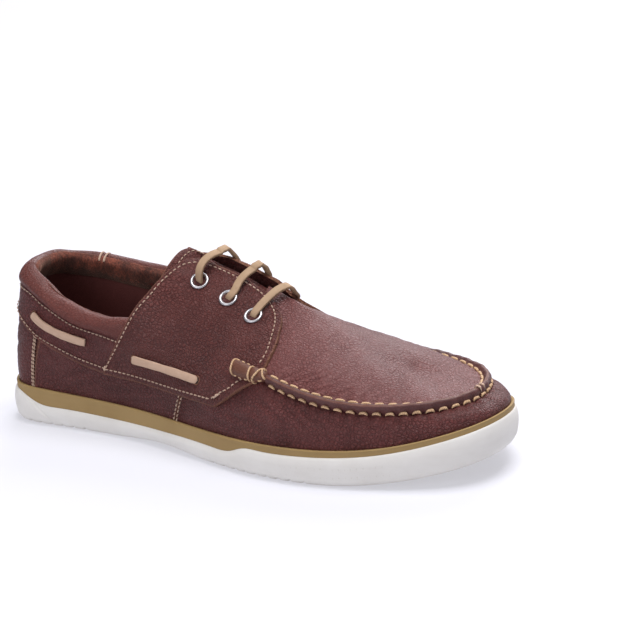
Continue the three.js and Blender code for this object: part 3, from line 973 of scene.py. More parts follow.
@dataclass(frozen=True)
class Leather:
    """Pebbled brown leather, paler where it is cut, with painted highlight on its raised spots and painted shade in
    its dents and creases.
    """

    name: str
    deep: Colour = (0.038, 0.0062, 0.0055)
    light: Colour = (0.172, 0.040, 0.036)
    raw: Colour = (0.20, 0.082, 0.048)
    pebble: float = 1.9
    relief: float = 0.8
    rough: float = 0.42
    coat: float = 0.06

    def make(self) -> bpy.types.Material:
        """Cells of a warped Voronoi are the pebbles, their borders the valleys; slow noise makes the grain stronger in
        some places. Cut edges shift the colour paler; the dent mark lightens raised spots as painted highlight and
        darkens dents and creases as painted shade.

        Returns:
            The material.
        """
        g = Graph(self.name)
        at = g.coords()
        warped = g.warp(at, 420, 0.0011)
        cell = g.node("ShaderNodeTexVoronoi", {"feature": "DISTANCE_TO_EDGE"},
                      {"Vector": warped, "Scale": 1000 / self.pebble})
        valley = 1.0 - cell.step(0.0, 0.24)
        small = g.node("ShaderNodeTexVoronoi", {"feature": "DISTANCE_TO_EDGE"},
                       {"Vector": warped, "Scale": 2300 / self.pebble})
        fine_valley = 1.0 - small.step(0.0, 0.3)
        patch = g.noise(at, 34, 3.0, 0.55).step(0.34, 0.66)
        broad = g.noise(at, 17, 3.0, 0.6).step(0.25, 0.75)
        mottle = g.noise(at, 160, 4.0, 0.6)
        fine = g.noise(at, 3200, 2.0, 0.6)
        grain = valley * (0.45 + 0.55 * patch) + 0.4 * fine_valley
        pull = g.noise(g.stretch(warped, (260.0, 700.0, 260.0), (0.0, 0.0, 0.5)), 1.0, 3.0, 0.6)
        height = 1.0 - grain + 0.12 * fine + 0.5 * mottle + 0.5 * pull
        # painted light: the relief height in the dent mark lightens raised spots and darkens dents and creases
        dent = g.mark("dent")
        high = (0.5 + 0.9 * dent).clamp()
        tone = (0.2 + 0.3 * broad + 0.26 * mottle + 0.3 * high - 0.34 * grain).clamp()
        colour = g.blend(tone, self.deep, self.light)
        raw = (g.mark("raw") * (0.75 + 0.5 * mottle)).clamp()
        colour = g.blend(raw, colour, self.raw)
        rough = self.rough + 0.12 * grain + 0.1 * broad + 0.25 * raw - 0.06
        return g.dress(Base_Color=colour, Roughness=rough, Normal=g.bump(height, self.relief / 1000, 0.9),
                       Coat_Weight=self.coat, Coat_Roughness=0.3, Specular_IOR_Level=0.32)


@dataclass(frozen=True)
class Suede:
    """Fuzzy nap of the collar's inner face."""

    name: str
    deep: Colour = (0.030, 0.0075, 0.0055)
    light: Colour = (0.29, 0.072, 0.040)

    def make(self) -> bpy.types.Material:
        """Short tufts of stretched noise over slow patches of brushed nap, darkened where the darkening mark is set:
        painted shade towards the nap's lower seam.

        Returns:
            The material.
        """
        g = Graph(self.name)
        at = g.coords()
        tuft = g.noise(g.stretch(at, (1.0, 1.0, 0.45), (0.3, 0.5, 0.0)), 1500, 4.0, 0.75)
        patch = g.noise(g.warp(at, 60, 0.006), 95, 5.0, 0.7).step(0.38, 0.68)
        tone = (tuft.step(0.36, 0.7) * (0.25 + 0.75 * patch) + 0.2 * patch - 0.45 * g.mark("grime")).clamp()
        return g.dress(Base_Color=g.blend(tone, self.deep, self.light), Roughness=0.95, Sheen_Weight=0.35,
                       Sheen_Roughness=0.5,
                       Sheen_Tint=(0.9, 0.55, 0.4, 1.0), Normal=g.bump(tuft + 0.5 * patch, 0.0005, 0.9))


@dataclass(frozen=True)
class Thread:
    """Waxed thread: plies twisted round each other."""

    name: str
    dark: Colour
    pale: Colour
    ply: float = 0.55

    def make(self) -> bpy.types.Material:
        """Stripes of the stitch's own map run slantwise round the thread.

        Returns:
            The material.
        """
        g = Graph(self.name)
        uv = g.node("ShaderNodeTexCoord", {}, {}, "UV")
        u, v = (g.node("ShaderNodeSeparateXYZ", {}, {0: uv}, axis) for axis in "XY")
        wave = g.node("ShaderNodeMath", {"operation": "SINE"}, {0: u * (TURN * 1000 / self.ply)
                + v * (TURN * 1000 / 3)})
        dirt = g.noise(g.coords(), 260, 3.0, 0.6)
        tone = (0.45 + 0.2 * wave + 0.7 * (dirt - 0.5)).clamp()
        return g.dress(Base_Color=g.blend(tone, self.dark, self.pale), Roughness=0.62,
                       Normal=g.bump(wave + dirt, 0.00012, 0.8))


@dataclass(frozen=True)
class Rawhide:
    """Flat laces cut from undyed leather."""

    name: str
    deep: Colour
    pale: Colour

    def make(self) -> bpy.types.Material:
        """Fibres run along the lace's own map; its edges are a little darker.

        Returns:
            The material.
        """
        g = Graph(self.name)
        uv = g.node("ShaderNodeTexCoord", {}, {}, "UV")
        fibre = g.noise(g.stretch(uv, (120.0, 1500.0, 1.0)), 1.0, 4.0, 0.6)
        spot = g.noise(g.coords(), 190, 4.0, 0.6)
        pores = g.noise(g.coords(), 2600, 2.0, 0.6)
        tone = (0.5 * fibre + 0.75 * spot - 0.12).clamp()
        colour = g.blend(tone, self.deep, self.pale)
        colour = g.blend(g.mark("raw") * 0.55, colour, self.deep)
        return g.dress(Base_Color=colour, Roughness=0.62 + 0.2 * fibre,
                       Normal=g.bump(fibre + 0.6 * pores + 0.5 * spot, 0.00022, 0.8))


@dataclass(frozen=True)
class Rubber:
    """Moulded sole compound, matt, with fine pits, scuffs and, on the white, rows of stipple dots."""

    name: str
    base: Colour
    shade: Colour
    stipple: bool = False

    def make(self) -> bpy.types.Material:
        """Slow cloudiness, rubbed streaks along the side and small pits; stipple dots on a grid of the side's map.

        Returns:
            The material.
        """
        g = Graph(self.name)
        at = g.coords()
        cloud = g.noise(at, 26, 4.0, 0.6)
        streak = g.noise(g.stretch(at, (40.0, 40.0, 420.0)), 1.0, 3.0, 0.6)
        pit = g.noise(at, 1700, 3.0, 0.65)
        # the darkening mark darkens the colour where a piece sets it
        tone = (0.5 * cloud.step(0.3, 0.75) + 0.14 * streak.step(0.45, 0.8) + g.mark("grime")).clamp()
        colour = g.blend(tone, self.base, self.shade)
        height = 0.35 * pit + 0.12 * streak
        if self.stipple:
            uv = g.node("ShaderNodeTexCoord", {}, {}, "UV")
            dots = g.node("ShaderNodeTexVoronoi", {"feature": "F1"},
                          {"Vector": g.stretch(uv, (310.0, 330.0, 1.0)), "Scale": 1.0, "Randomness": 0.12},
                          "Distance")
            spot = (1.0 - dots.step(0.07, 0.14)) * g.mark("stipple")
            colour = g.blend(spot * 0.45, colour, self.shade)
            height = height - spot
        return g.dress(Base_Color=colour, Roughness=0.58 + 0.18 * cloud, Normal=g.bump(height, 0.00018, 0.7))


@dataclass(frozen=True)
class Nickel:
    """Plated eyelet metal with fine handling marks."""

    name: str

    def make(self) -> bpy.types.Material:
        """Even metal, its gloss broken by fine noise.

        Returns:
            The material.
        """
        g = Graph(self.name)
        at = g.coords()
        haze = g.noise(at, 700, 3.0, 0.6)
        colour = g.blend(haze.step(0.3, 0.8), (0.52, 0.51, 0.53), (0.40, 0.39, 0.41))
        return g.dress(Base_Color=colour, Metallic=1.0, Roughness=0.3 + 0.15 * haze,
                       Normal=g.bump(haze, 0.00002, 0.5))


@dataclass(frozen=True)
class Shadow:
    """Painted shade: a near-black sheet set inside punched holes and eyelets, where only shade is seen."""

    name: str

    def make(self) -> bpy.types.Material:
        """Near-black brown, slightly mottled: painted shade."""
        g = Graph(self.name)
        return g.dress(Base_Color=g.blend(g.noise(g.coords(), 900, 2.0), (0.006, 0.003, 0.002),
                (0.02, 0.009, 0.006)), Roughness=0.9)


class Wardrobe:
    """Every finish of the shoe, made once."""

    def __init__(self) -> None:
        """Make the materials."""
        self.upper = Leather("upper_leather").make()
        # the plug's leather is the upper's, made lighter and redder: painted highlight for the top light's sheen on
        # its upward face
        self.plug = Leather("plug_leather_lit", deep=(0.070, 0.016, 0.0155), light=(0.235, 0.076, 0.070), pebble=1.8,
                relief=0.55).make()
        self.saddle = Leather("saddle_leather", deep=(0.044, 0.0075, 0.0065), light=(0.165, 0.041, 0.034),
                pebble=1.9).make()
        self.roll = Leather("collar_leather", deep=(0.042, 0.0070, 0.0052), light=(0.190, 0.044, 0.032), pebble=1.5,
                relief=0.34, rough=0.42, coat=0.08).make()
        self.lip = Leather("seam_leather", deep=(0.040, 0.0100, 0.0095), light=(0.125, 0.042, 0.038), pebble=1.1,
                relief=0.1).make()
        self.tab = Leather("tab_leather", deep=(0.060, 0.018, 0.010), light=(0.18, 0.067, 0.038), pebble=1.1,
                relief=0.1).make()
        self.lining = Leather("lining_leather", deep=(0.060, 0.0135, 0.0125), light=(0.185, 0.052, 0.046),
                pebble=0.7, relief=0.06, rough=0.6, coat=0.0).make()
        self.insole = Leather("insole_leather", deep=(0.075, 0.027, 0.018), light=(0.17, 0.070, 0.045), pebble=0.9,
                relief=0.04, rough=0.6, coat=0.0).make()
        self.nap = Suede("collar_nap").make()
        self.fine = Thread("fine_thread", (0.36, 0.22, 0.15), (0.74, 0.54, 0.42)).make()
        self.thick = Thread("apron_thread", (0.36, 0.20, 0.10), (0.80, 0.55, 0.33), ply=1.1).make()
        self.lace = Rawhide("lace_rawhide", (0.24, 0.145, 0.082), (0.46, 0.315, 0.195)).make()
        self.side_lace = Rawhide("side_lace_rawhide", (0.36, 0.225, 0.155), (0.58, 0.405, 0.295)).make()
        self.white = Rubber("outsole_rubber", (0.72, 0.70, 0.67), (0.60, 0.57, 0.53), stipple=True).make()
        self.tan = Rubber("midsole_strip", (0.315, 0.205, 0.075), (0.235, 0.145, 0.050)).make()
        self.nickel = Nickel("eyelet_nickel").make()
        # near-black discs in eyelets and lace holes: painted shade
        self.hole = Shadow("punched_hole_shade").make()


# ---------------------------------------------------------------- the upper


@dataclass
class Lines:
    """The edges and stitch rows that the panels share, as (phi, climb) rows on either flank."""

    form: Form
    heel_seam: Rows = ((0.577, 0.0), (0.603, 0.14), (0.646, 0.32), (0.684, 0.44))
    mid_seam: Rows = ((1.389, 0.0), (1.405, 0.06), (1.422, 0.13), (1.45, 0.22))
    saddle_back: Rows = ((1.052, 0.15), (1.119, 0.31), (1.172, 0.50), (1.198, 0.61), (1.230, 0.73), (1.249, 0.84),
            (1.274, 0.97),
                         (1.291, 1.055), (1.314, 1.13), (1.350, 1.19), (1.404, 1.215), (1.481, 1.215), (1.555, 1.20),
                         (1.620, 1.18), (1.666, 1.135),
                         (1.708, 1.07), (1.734, 0.99), (1.750, 0.89), (1.763, 0.78), (1.768, 0.68), (1.760, 0.585))
    cut_back: Rows = ((1.034, 0.115), (1.070, 0.21), (1.107, 0.315), (1.160, 0.50), (1.186, 0.615), (1.217, 0.74),
            (1.237, 0.85), (1.262, 0.99),
                      (1.279, 1.08), (1.300, 1.175))
    cut_top: Rows = ((1.300, 1.175), (1.342, 1.26), (1.404, 1.28), (1.481, 1.28), (1.555, 1.27), (1.60, 1.26),
            (1.650, 1.225), (1.684, 1.18))
    cut_front: Rows = ((1.602, 0.145), (1.646, 0.21), (1.684, 0.28), (1.730, 0.37), (1.768, 0.45), (1.783, 0.52),
            (1.789, 0.60), (1.791, 0.70), (1.789, 0.81),
                       (1.775, 0.92), (1.757, 1.04), (1.730, 1.11), (1.684, 1.18))
    tongue_edge: Rows = ((1.150, 0.45), (1.195, 0.66), (1.222, 0.76), (1.239, 0.86), (1.247, 0.98), (1.254, 1.13),
            (1.262, 1.28))

    def __post_init__(self) -> None:
        """Rows that are given by height."""
        f = self.form
        self.main = f.heights(((0.0, 66.0), (0.2, 65.0), (0.35, 62.5), (0.46, 59.0), (0.624, 50.9), (0.75, 46.1),
                (0.853, 42.4), (0.95, 39.6), (1.046, 37.5)))
        self.low = f.heights(((1.046, 37.5), (1.228, 36.2), (1.411, 34.8), (1.578, 34.5)))
        self.diagonal = ((1.586, 0.19), (1.623, 0.25), (1.657, 0.30), (1.694, 0.38), (1.735, 0.455))
        self.collar = {
            Side.OUTER: f.heights(((0.0, 75.5), (0.35, 75), (0.56, 73), (0.64, 69.7), (0.763, 64), (0.866, 59.2),
                (1.01, 55.7), (1.135, 52.2))),
            Side.INNER: f.heights(((0.0, 75.5), (0.35, 75), (0.5, 73.8), (0.64, 71.3), (0.763, 68.2), (0.866, 65.6),
                (1.01, 63.2), (1.15, 61.0)))}
        self.top = {Side.OUTER: Table(((0, 87), (0.35, 86.3), (0.48, 84.6), (0.6, 81.2), (0.7, 77), (0.78, 72.7),
                (0.86, 69.9), (0.94, 67.2), (1.02, 65.4), (1.2, 64.4))),
                    Side.INNER: Table(((0, 87), (0.35, 86.5), (0.5, 85), (0.7, 83), (0.9, 79.3), (1.0, 77.8),
                (1.2, 75.5)))}
        self.cut_low = f.heights(((1.034, 34.9), (1.12, 34.3), (1.228, 33.6), (1.411, 32.3), (1.602, 31.6)))
        self.main_at = Table(self.main + [(1.228, self.low[1][1]), (1.411, self.low[2][1]), (1.6, self.low[3][1])])
        self.collar_tables = {side: Table(rows) for side, rows in self.collar.items()}

    @staticmethod
    def by_share(rows: Rows, shift: float = 0.0) -> Table:
        """The phi of a seam, moved by a shift, read at shares of its whole climb."""
        return Table([(climb / rows[-1][1], phi + shift) for phi, climb in rows])

    def both(self, psi: Array, tables: dict[Side, Table]) -> Array:
        """A size given on both flanks, read at angles round the whole sole."""
        p = np.mod(psi, TURN)
        return np.where(p > math.pi, tables[Side.INNER](TURN - p), tables[Side.OUTER](p))

    def collar_at(self, psi: Array) -> Array:
        """Climb of the collar's seam."""
        return self.both(psi, self.collar_tables)

    def top_at(self, psi: Array) -> Array:
        """Height of the collar's crown."""
        return self.both(psi, self.top)


@dataclass
class Upper:
    """Heel counter, quarters, vamp wall, apron plug and the band under the collar."""

    form: Form
    lines: Lines
    looks: Wardrobe
    step: float = 0.72
    wall: float = 1.3
    band_lift: float = 1.15

    def heel(self) -> None:
        """Counter round the back of the heel, between the two slanted heel seams."""
        v = ticks(45, self.step)
        u = ticks(92, self.step) * 2 - 1
        half = self.lines.by_share(self.lines.heel_seam)(v)
        psi = u[:, None] * half[None]
        top = self.lines.main_at(np.abs(psi)) + 0.05
        th = v[None] * top
        soft = [Groove(self.form.line(s, self.lines.heel_seam), 0.35, 1.3, fade=False) for s in Side]
        dimples = [Groove(self.form.line(Side.OUTER, ((0.12, 0.12), (0.3, 0.16), (0.5, 0.2))), 0.3, 1.6, 0.14),
                   Groove(self.form.line(Side.OUTER, ((0.2, 0.30), (0.34, 0.28), (0.46, 0.31))), 0.24, 1.4, 0.1)]
        obj = slab(self.form, psi, th, 0.0, -self.wall, [*wear(0.14, 5), *soft, *dimples],
                   (True, True, False, False)).object("heel_counter")
        finish_piece(obj, self.looks.upper, "upper_leather", "upper")

    def quarter(self, side: Side) -> None:
        """Lower quarter between the heel seam and the middle seam; it laps over the counter.

        Args:
            side: which flank.
        """
        v = ticks(32, self.step)
        u = ticks(120, self.step)
        a = self.lines.by_share(self.lines.heel_seam, 0.004)(v)
        b = self.lines.by_share(self.lines.mid_seam)(v)
        phi = a[None] + u[:, None] * (b - a)[None]
        if side is Side.INNER:
            phi = phi[::-1]
        psi = self.form.turn(side, phi)
        th = v[None] * (self.lines.main_at(phi) + 0.05)
        first = bell(phi, a[None], 0.02)
        over = 0.25 + 0.75 * first
        creases = [Groove(self.form.line(side, rows), d, w, lip) for rows, d, w, lip in (
            (((0.78, 0.06), (0.88, 0.10), (0.99, 0.16)), 0.28, 1.7, 0.12),
            (((0.86, 0.03), (0.98, 0.07), (1.1, 0.13)), 0.25, 1.5, 0.12),
            (((1.0, 0.04), (1.12, 0.06), (1.28, 0.12)), 0.3, 1.6, 0.14),
            (((1.12, 0.02), (1.25, 0.045), (1.36, 0.1)), 0.22, 1.3, 0.1),
            (((0.66, 0.25), (0.72, 0.17), (0.8, 0.12)), 0.26, 1.6, 0.1))]
        obj = slab(self.form, psi, th, over, -self.wall, [*wear(0.14, 7), *creases],
                   (True, True, False, False)).object(f"quarter_{word(side)}")
        finish_piece(obj, self.looks.upper, "upper_leather", "upper")

    def vamp(self) -> None:
        """Wall of the forefoot from the middle seam round the toe, gathered up to the apron seam."""
        v = ticks(36, self.step)
        u = ticks(330, self.step)
        b = self.lines.by_share(self.lines.mid_seam)(v)
        psi = b[None] + u[:, None] * (TURN - 2 * b)[None]
        phi = np.minimum(psi, TURN - psi)
        seam = self.form.rib(psi).seam
        low = np.interp(phi, [1.38, 1.6, 1.66, 1.70, 1.76, 1.80], [0.26, 0.24, 0.33, 0.42, 0.58, 2.0])
        th = v[None] * np.minimum(seam, low)
        seam_line = self.seam_points(-2.6)
        reliefs: list[Relief] = [*wear(0.16, 11), Groove(seam_line, 0.5, 1.2, fade=False),
                Puckers(seam_line, APRON_PITCH, 0.34, 5.0)]
        for side in Side:
            for rows, d, w, lip in (
                (((1.78, 0.32), (1.86, 0.25), (1.93, 0.12)), 0.38, 1.4, 0.18),
                (((1.88, 0.36), (1.96, 0.26), (2.02, 0.14)), 0.34, 1.2, 0.18),
                (((1.97, 0.38), (2.05, 0.27), (2.10, 0.18)), 0.3, 1.2, 0.15),
                (((2.08, 0.36), (2.14, 0.26), (2.22, 0.20)), 0.26, 1.1, 0.12),
                (((1.62, 0.14), (1.75, 0.11), (1.9, 0.06)), 0.3, 1.8, 0.12),
                (((1.5, 0.1), (1.62, 0.06), (1.78, 0.04)), 0.24, 1.6, 0.1),
                (((2.24, 0.34), (2.29, 0.24), (2.38, 0.2)), 0.22, 1.1, 0.1),
                (((2.42, 0.34), (2.46, 0.22), (2.52, 0.16)), 0.18, 1.2, 0.1)):
                reliefs.append(Groove(self.form.line(side, rows), d, w, lip))
        obj = slab(self.form, psi, th, 0.15, -self.wall, reliefs, (True, True, False, False)).object("vamp")
        finish_piece(obj, self.looks.upper, "upper_leather", "upper")

    def seam_points(self, along: float, off: float = 0.0, start: float = 1.80) -> Array:
        """Points beside the apron seam: a distance up the rib (negative is outwards) and a distance off.

        Args:
            along: mm up the rib; negative is outwards.
            off: mm off the form.
            start: phi of both ends.

        Returns:
            Points about 0.6 mm apart.
        """
        psi = np.linspace(start, TURN - start, 700)
        th = self.form.rib(psi).seam
        p = self.form.skin(psi, th, off)
        up = self.form.up_rib(psi, th)
        p = p + up * along
        s = lengths(p)
        return read(p, s, np.linspace(0, s[-1], round(s[-1] / 0.6)))

    def plug(self) -> None:
        """Apron plug: from the seam over the crown, its crown line folded on itself round the toe."""
        n = 2 * round(150 / self.step) + 1
        psi_line = np.linspace(1.63, TURN - 1.63, n)
        v = np.linspace(0, 1, round(52 / self.step) + 1)
        seam = self.form.rib(psi_line).seam
        psi = np.broadcast_to(psi_line[:, None], (n, len(v)))
        th = seam[:, None] + v[None] * (math.pi / 2 - seam)[:, None]
        both = np.concatenate([self.form.point(psi, th), self.form.facing(psi, th)], -1)
        ease = np.broadcast_to(smooth(v, 0.16, 0.5)[None, :, None], (n, len(v), 1))
        for _ in range(90):
            wide = np.concatenate([both, both[::-1, -2:-1]], 1)
            mean = (both[:-2, 1:] + both[2:, 1:] + wide[1:-1, :-2] + wide[1:-1, 2:]) / 4
            both[1:-1, 1:] += ease[1:-1, 1:] * (mean - both[1:-1, 1:]) * 0.9
        p, normal = both[..., :3], unit(both[..., 3:])
        x, y = np.moveaxis(p[..., :2] - p[n // 2, -1, :2], -1, 0)
        away = np.hypot(x, y)
        beside = (away > 8) & (away < 22)
        terms = np.stack([np.ones_like(x), x, y, x * x, x * y, y * y], -1)
        fit = np.linalg.lstsq(terms[beside], p[beside, 2], rcond=None)[0]
        share = 1 - smooth(away, 5, 15)
        p[..., 2] += share * (terms @ fit - p[..., 2])
        slope = np.stack([-(fit[1] + 2 * fit[3] * x + fit[4] * y), -(fit[2] + fit[4] * x + 2 * fit[5] * y),
                np.ones_like(x)], -1)
        normal = unit(normal * (1 - share)[..., None] + unit(slope) * share[..., None])
        creases: list[Relief] = [*wear(0.09, 21), Puckers(self.seam_points(2.4), APRON_PITCH, 0.22, 4.0)]
        pulled = {Side.OUTER: (
            (((1.835, 0.62), (1.87, 0.72), (1.90, 0.86)), 0.34, 0.8, 0.16),
            (((1.86, 0.56), (1.91, 0.68), (1.95, 0.84)), 0.4, 0.85, 0.2),
            (((1.90, 0.55), (1.96, 0.70), (2.02, 0.88)), 0.42, 0.9, 0.2),
            (((1.95, 0.60), (2.01, 0.74), (2.06, 0.92)), 0.36, 0.8, 0.16),
            (((1.97, 0.52), (2.04, 0.64), (2.10, 0.80)), 0.34, 0.85, 0.16),
            (((2.03, 0.70), (2.09, 0.86), (2.13, 1.05)), 0.3, 0.8, 0.14),
            (((2.05, 0.54), (2.12, 0.66), (2.19, 0.84)), 0.28, 0.9, 0.12),
            (((1.81, 0.78), (1.83, 0.92), (1.85, 1.08)), 0.28, 0.8, 0.12),
            (((1.92, 0.86), (1.96, 0.98), (1.98, 1.10)), 0.26, 0.9, 0.12),
            (((2.12, 0.80), (2.17, 0.90), (2.20, 1.0)), 0.22, 0.9, 0.1),
            (((2.16, 0.56), (2.24, 0.70), (2.31, 0.88)), 0.2, 0.9, 0.08),
            (((2.0, 0.84), (2.04, 0.94), (2.06, 1.04)), 0.22, 0.9, 0.1),
            (((1.80, 0.62), (1.815, 0.70), (1.82, 0.80)), 0.26, 0.6, 0.12),
            (((2.26, 0.60), (2.36, 0.74), (2.42, 0.9)), 0.16, 1.0, 0.06),
            (((1.845, 0.96), (1.875, 1.12), (1.90, 1.3)), 0.24, 0.8, 0.1)),
            Side.INNER: (
            (((1.86, 0.60), (1.92, 0.76), (1.98, 0.98)), 0.3, 0.9, 0.14),
            (((1.93, 0.56), (2.01, 0.72), (2.08, 0.94)), 0.32, 0.9, 0.14),
            (((2.02, 0.58), (2.11, 0.76), (2.19, 1.0)), 0.26, 0.9, 0.12),
            (((1.86, 0.94), (1.89, 1.06), (1.91, 1.18)), 0.22, 0.9, 0.1),
            (((2.14, 0.58), (2.24, 0.78), (2.32, 1.02)), 0.2, 1.0, 0.08))}
        for side, rows in pulled.items():
            creases += [Groove(self.form.line(side, line), d, w, lip) for line, d, w, lip in rows]
        flat = p.reshape(-1, 3)
        change = sum(c(flat) for c in creases).reshape(psi.shape)
        change = (change + change[::-1] * (th > 1.569)) / (1 + (th > 1.569))
        swell = 0.5 * bell(v * 52, 0, 7.0)[None]
        outer = p + normal * (0.25 + change + swell)[..., None]
        inner = p + normal * -self.wall
        c = Patches()
        c.grid(outer, dent=change, raw=0.0)
        c.grid(inner, flip=True, raw=0.0, dent=0.0)
        rim_o = np.concatenate([outer[0, ::-1], outer[1:, 0], outer[-1, 1:]])
        rim_i = np.concatenate([inner[0, ::-1], inner[1:, 0], inner[-1, 1:]])
        c.grid(np.stack([rim_i, rim_o], 1), raw=1.0, dent=0.0)
        finish_piece(c.object("apron_plug", weld=0.004), self.looks.plug, "upper_leather", "upper")

    def band(self) -> None:
        """Band round the heel between the main seam, where it is cut, and the collar's seam."""
        v = ticks(24, self.step)
        u = ticks(2 * 150, self.step)
        psi = (u * 2 - 1)[:, None] * np.full((1, len(v)), 1.13)
        phi = np.abs(psi)
        lo = self.lines.main_at(phi) - 0.02 - 0.012 * smooth(phi, 0.5, 1.05)
        hi = self.lines.collar_at(psi) + 0.04
        th = lo + v[None] * (hi - lo)
        reliefs: list[Relief] = [*wear(0.12, 31)]
        for side in Side:
            reliefs += [Groove(self.form.line(side, self.lines.main), 0.22, 0.9, fade=False),
                        Groove(self.form.line(side, self.lines.collar[side]), 0.3, 1.0, fade=False),
                        Puckers(self.form.line(side, self.lines.collar[side]), 5.1, 0.1, 2.0)]
        obj = slab(self.form, psi, th, self.band_lift, -0.2, reliefs,
                   (False, False, True, False)).object("collar_band")
        finish_piece(obj, self.looks.upper, "upper_leather", "upper")

    def build(self) -> None:
        """Make every panel."""
        self.heel()
        for side in Side:
            self.quarter(side)
        self.vamp()
        self.plug()
        self.band()
        LOG.info("upper panels made")


@dataclass
class Instep:
    """The two saddles with their stitch rows, and the tongue below."""

    form: Form
    lines: Lines
    looks: Wardrobe
    lift: float = 2.0
    step: float = 0.64

    @staticmethod
    def stand(psi: Array, th: Array) -> Array:
        """How far the inner facing stands up along the throat, pulled by the laces."""
        phi = TURN - psi
        return 4.3 * smooth(th, 0.9, 1.27) * smooth(phi, 1.30, 1.44) * (1 - smooth(phi, 1.62, 1.75)) * (psi > math.pi)

    def saddle(self, side: Side) -> None:
        """One saddle, spanned between its four cut edges.

        Args:
            side: which flank.
        """
        f, ln = self.form, self.lines
        u, v = ticks(80, self.step), ticks(72, self.step)
        sides = [f.run(side, rows, count=300) for rows in (ln.cut_low, ln.cut_top, ln.cut_back, ln.cut_front)]
        psi, th = coons(*sides, u, v)
        if side is Side.INNER:
            psi, th = psi[::-1], th[::-1]
        reliefs: list[Relief] = wear(0.13, 41)
        reliefs += [Groove(f.line(side, r, self.lift), 0.26, 0.8, fade=False)
                    for r in (ln.saddle_back, ln.low, ln.diagonal)]
        reliefs += [Groove(f.line(side, ((1.171, 0.25), (1.238, 0.262), (1.311, 0.262), (1.387, 0.255),
                (1.487, 0.262)), self.lift), 0.35, 2.4, fade=False)]
        a = INNER_DROP if side is Side.INNER else 0.0
        for phi, climb in EYELETS:
            place = f.skin(*np.atleast_1d(f.turn(side, phi), climb - a), self.lift)
            reliefs.append(Groove(np.repeat(place, 2, 0) + np.array([[0], [0.01]]), 0.4, 5.4, 0.12, fade=False))
        for rows, d, w, lip in (
            (((1.655, 0.82), (1.69, 0.72), (1.72, 0.62)), 0.3, 1.0, 0.14),
            (((1.63, 0.80), (1.655, 0.68), (1.68, 0.58)), 0.34, 1.1, 0.16),
            (((1.60, 0.80), (1.61, 0.68), (1.63, 0.56)), 0.26, 1.1, 0.12),
            (((1.675, 0.86), (1.715, 0.80), (1.745, 0.72)), 0.28, 1.0, 0.14),
            (((1.57, 0.82), (1.56, 0.70), (1.565, 0.58)), 0.22, 1.2, 0.1),
            (((1.665, 0.98), (1.70, 0.97), (1.74, 0.93)), 0.24, 0.9, 0.1),
            (((1.40, 0.88), (1.43, 0.78), (1.45, 0.66)), 0.2, 1.5, 0.1),
            (((1.52, 0.84), (1.51, 0.72), (1.50, 0.6)), 0.2, 1.4, 0.1),
            (((1.12, 0.22), (1.19, 0.33), (1.24, 0.44)), 0.16, 1.8, 0.08),
            (((1.40, 0.40), (1.5, 0.36), (1.6, 0.34)), 0.16, 2.0, 0.08)):
            reliefs.append(Groove(f.line(side, [(r[0], r[1] - a * (r[1] > 0.7)) for r in rows], self.lift), d, w,
                    lip))
        stand = self.stand(psi, th)
        obj = slab(f, psi, th, self.lift + 0.1 + stand, 0.35 + stand, reliefs,
                   rim=0.6).object(f"saddle_piece_{word(side)}")
        finish_piece(obj, self.looks.saddle, "saddle_leather", f"saddle_{word(side)}")

    def tongue(self) -> None:
        """Tongue under the throat: its back corners and edge stand out behind the saddles."""
        f = self.form
        u, v = ticks(80, 1.0), ticks(110, 1.0)
        c = Patches()
        back = list(self.lines.tongue_edge)
        # v runs across, from the outer low corner over the crown to the inner one; u from the back edge forwards
        edge_phi = Table([(r[1], r[0]) for r in back] + [(1.40, 1.274), (1.49, 1.292), (1.57, 1.318)])
        th_line = 0.45 + (math.pi / 2 - 0.45) * (1 - np.abs(v * 2 - 1))
        start = edge_phi(th_line)
        phi = start[None] + u[:, None] * (1.80 - start)[None]
        th = np.broadcast_to(th_line[None], phi.shape)
        psi = np.where(v[None] <= 0.5, phi, TURN - phi)
        p, n = f.point(psi, th), f.facing(psi, th)
        length = lengths(p[:, len(v) // 2])
        d = (u * length[-1])[:, None]
        drop = np.where(d < 0.6, 0.6 - np.sqrt(np.maximum(0.36 - np.clip(0.6 - d, 0, 0.6) ** 2, 0)), 0)
        base = -3.8 + 3.7 * bell(d, 0, 13)
        row = bell(d, 3.2, 0.9) * 0.25
        change = Unevenness(0.12, 51)(p.reshape(-1, 3)).reshape(phi.shape)
        outer = p + n * (base - drop - row + change)[..., None]
        inner = p + n * (base - 2.2)[..., None]
        raw = np.clip(1.15 - d / 0.6, 0, 1) * np.ones_like(phi)
        # the row groove lowers the dent mark, which darkens the colour there: painted shade in the groove
        c.sheet(outer, inner, raw=raw, dent=change - row * 0.5)
        finish_piece(c.object("tongue_piece"), self.looks.saddle, "tongue_leather", "tongue")
        self.tongue_base = (n, outer, d[:, 0])

    def build(self) -> None:
        """Make the saddles and the tongue."""
        for side in Side:
            self.saddle(side)
        self.tongue()


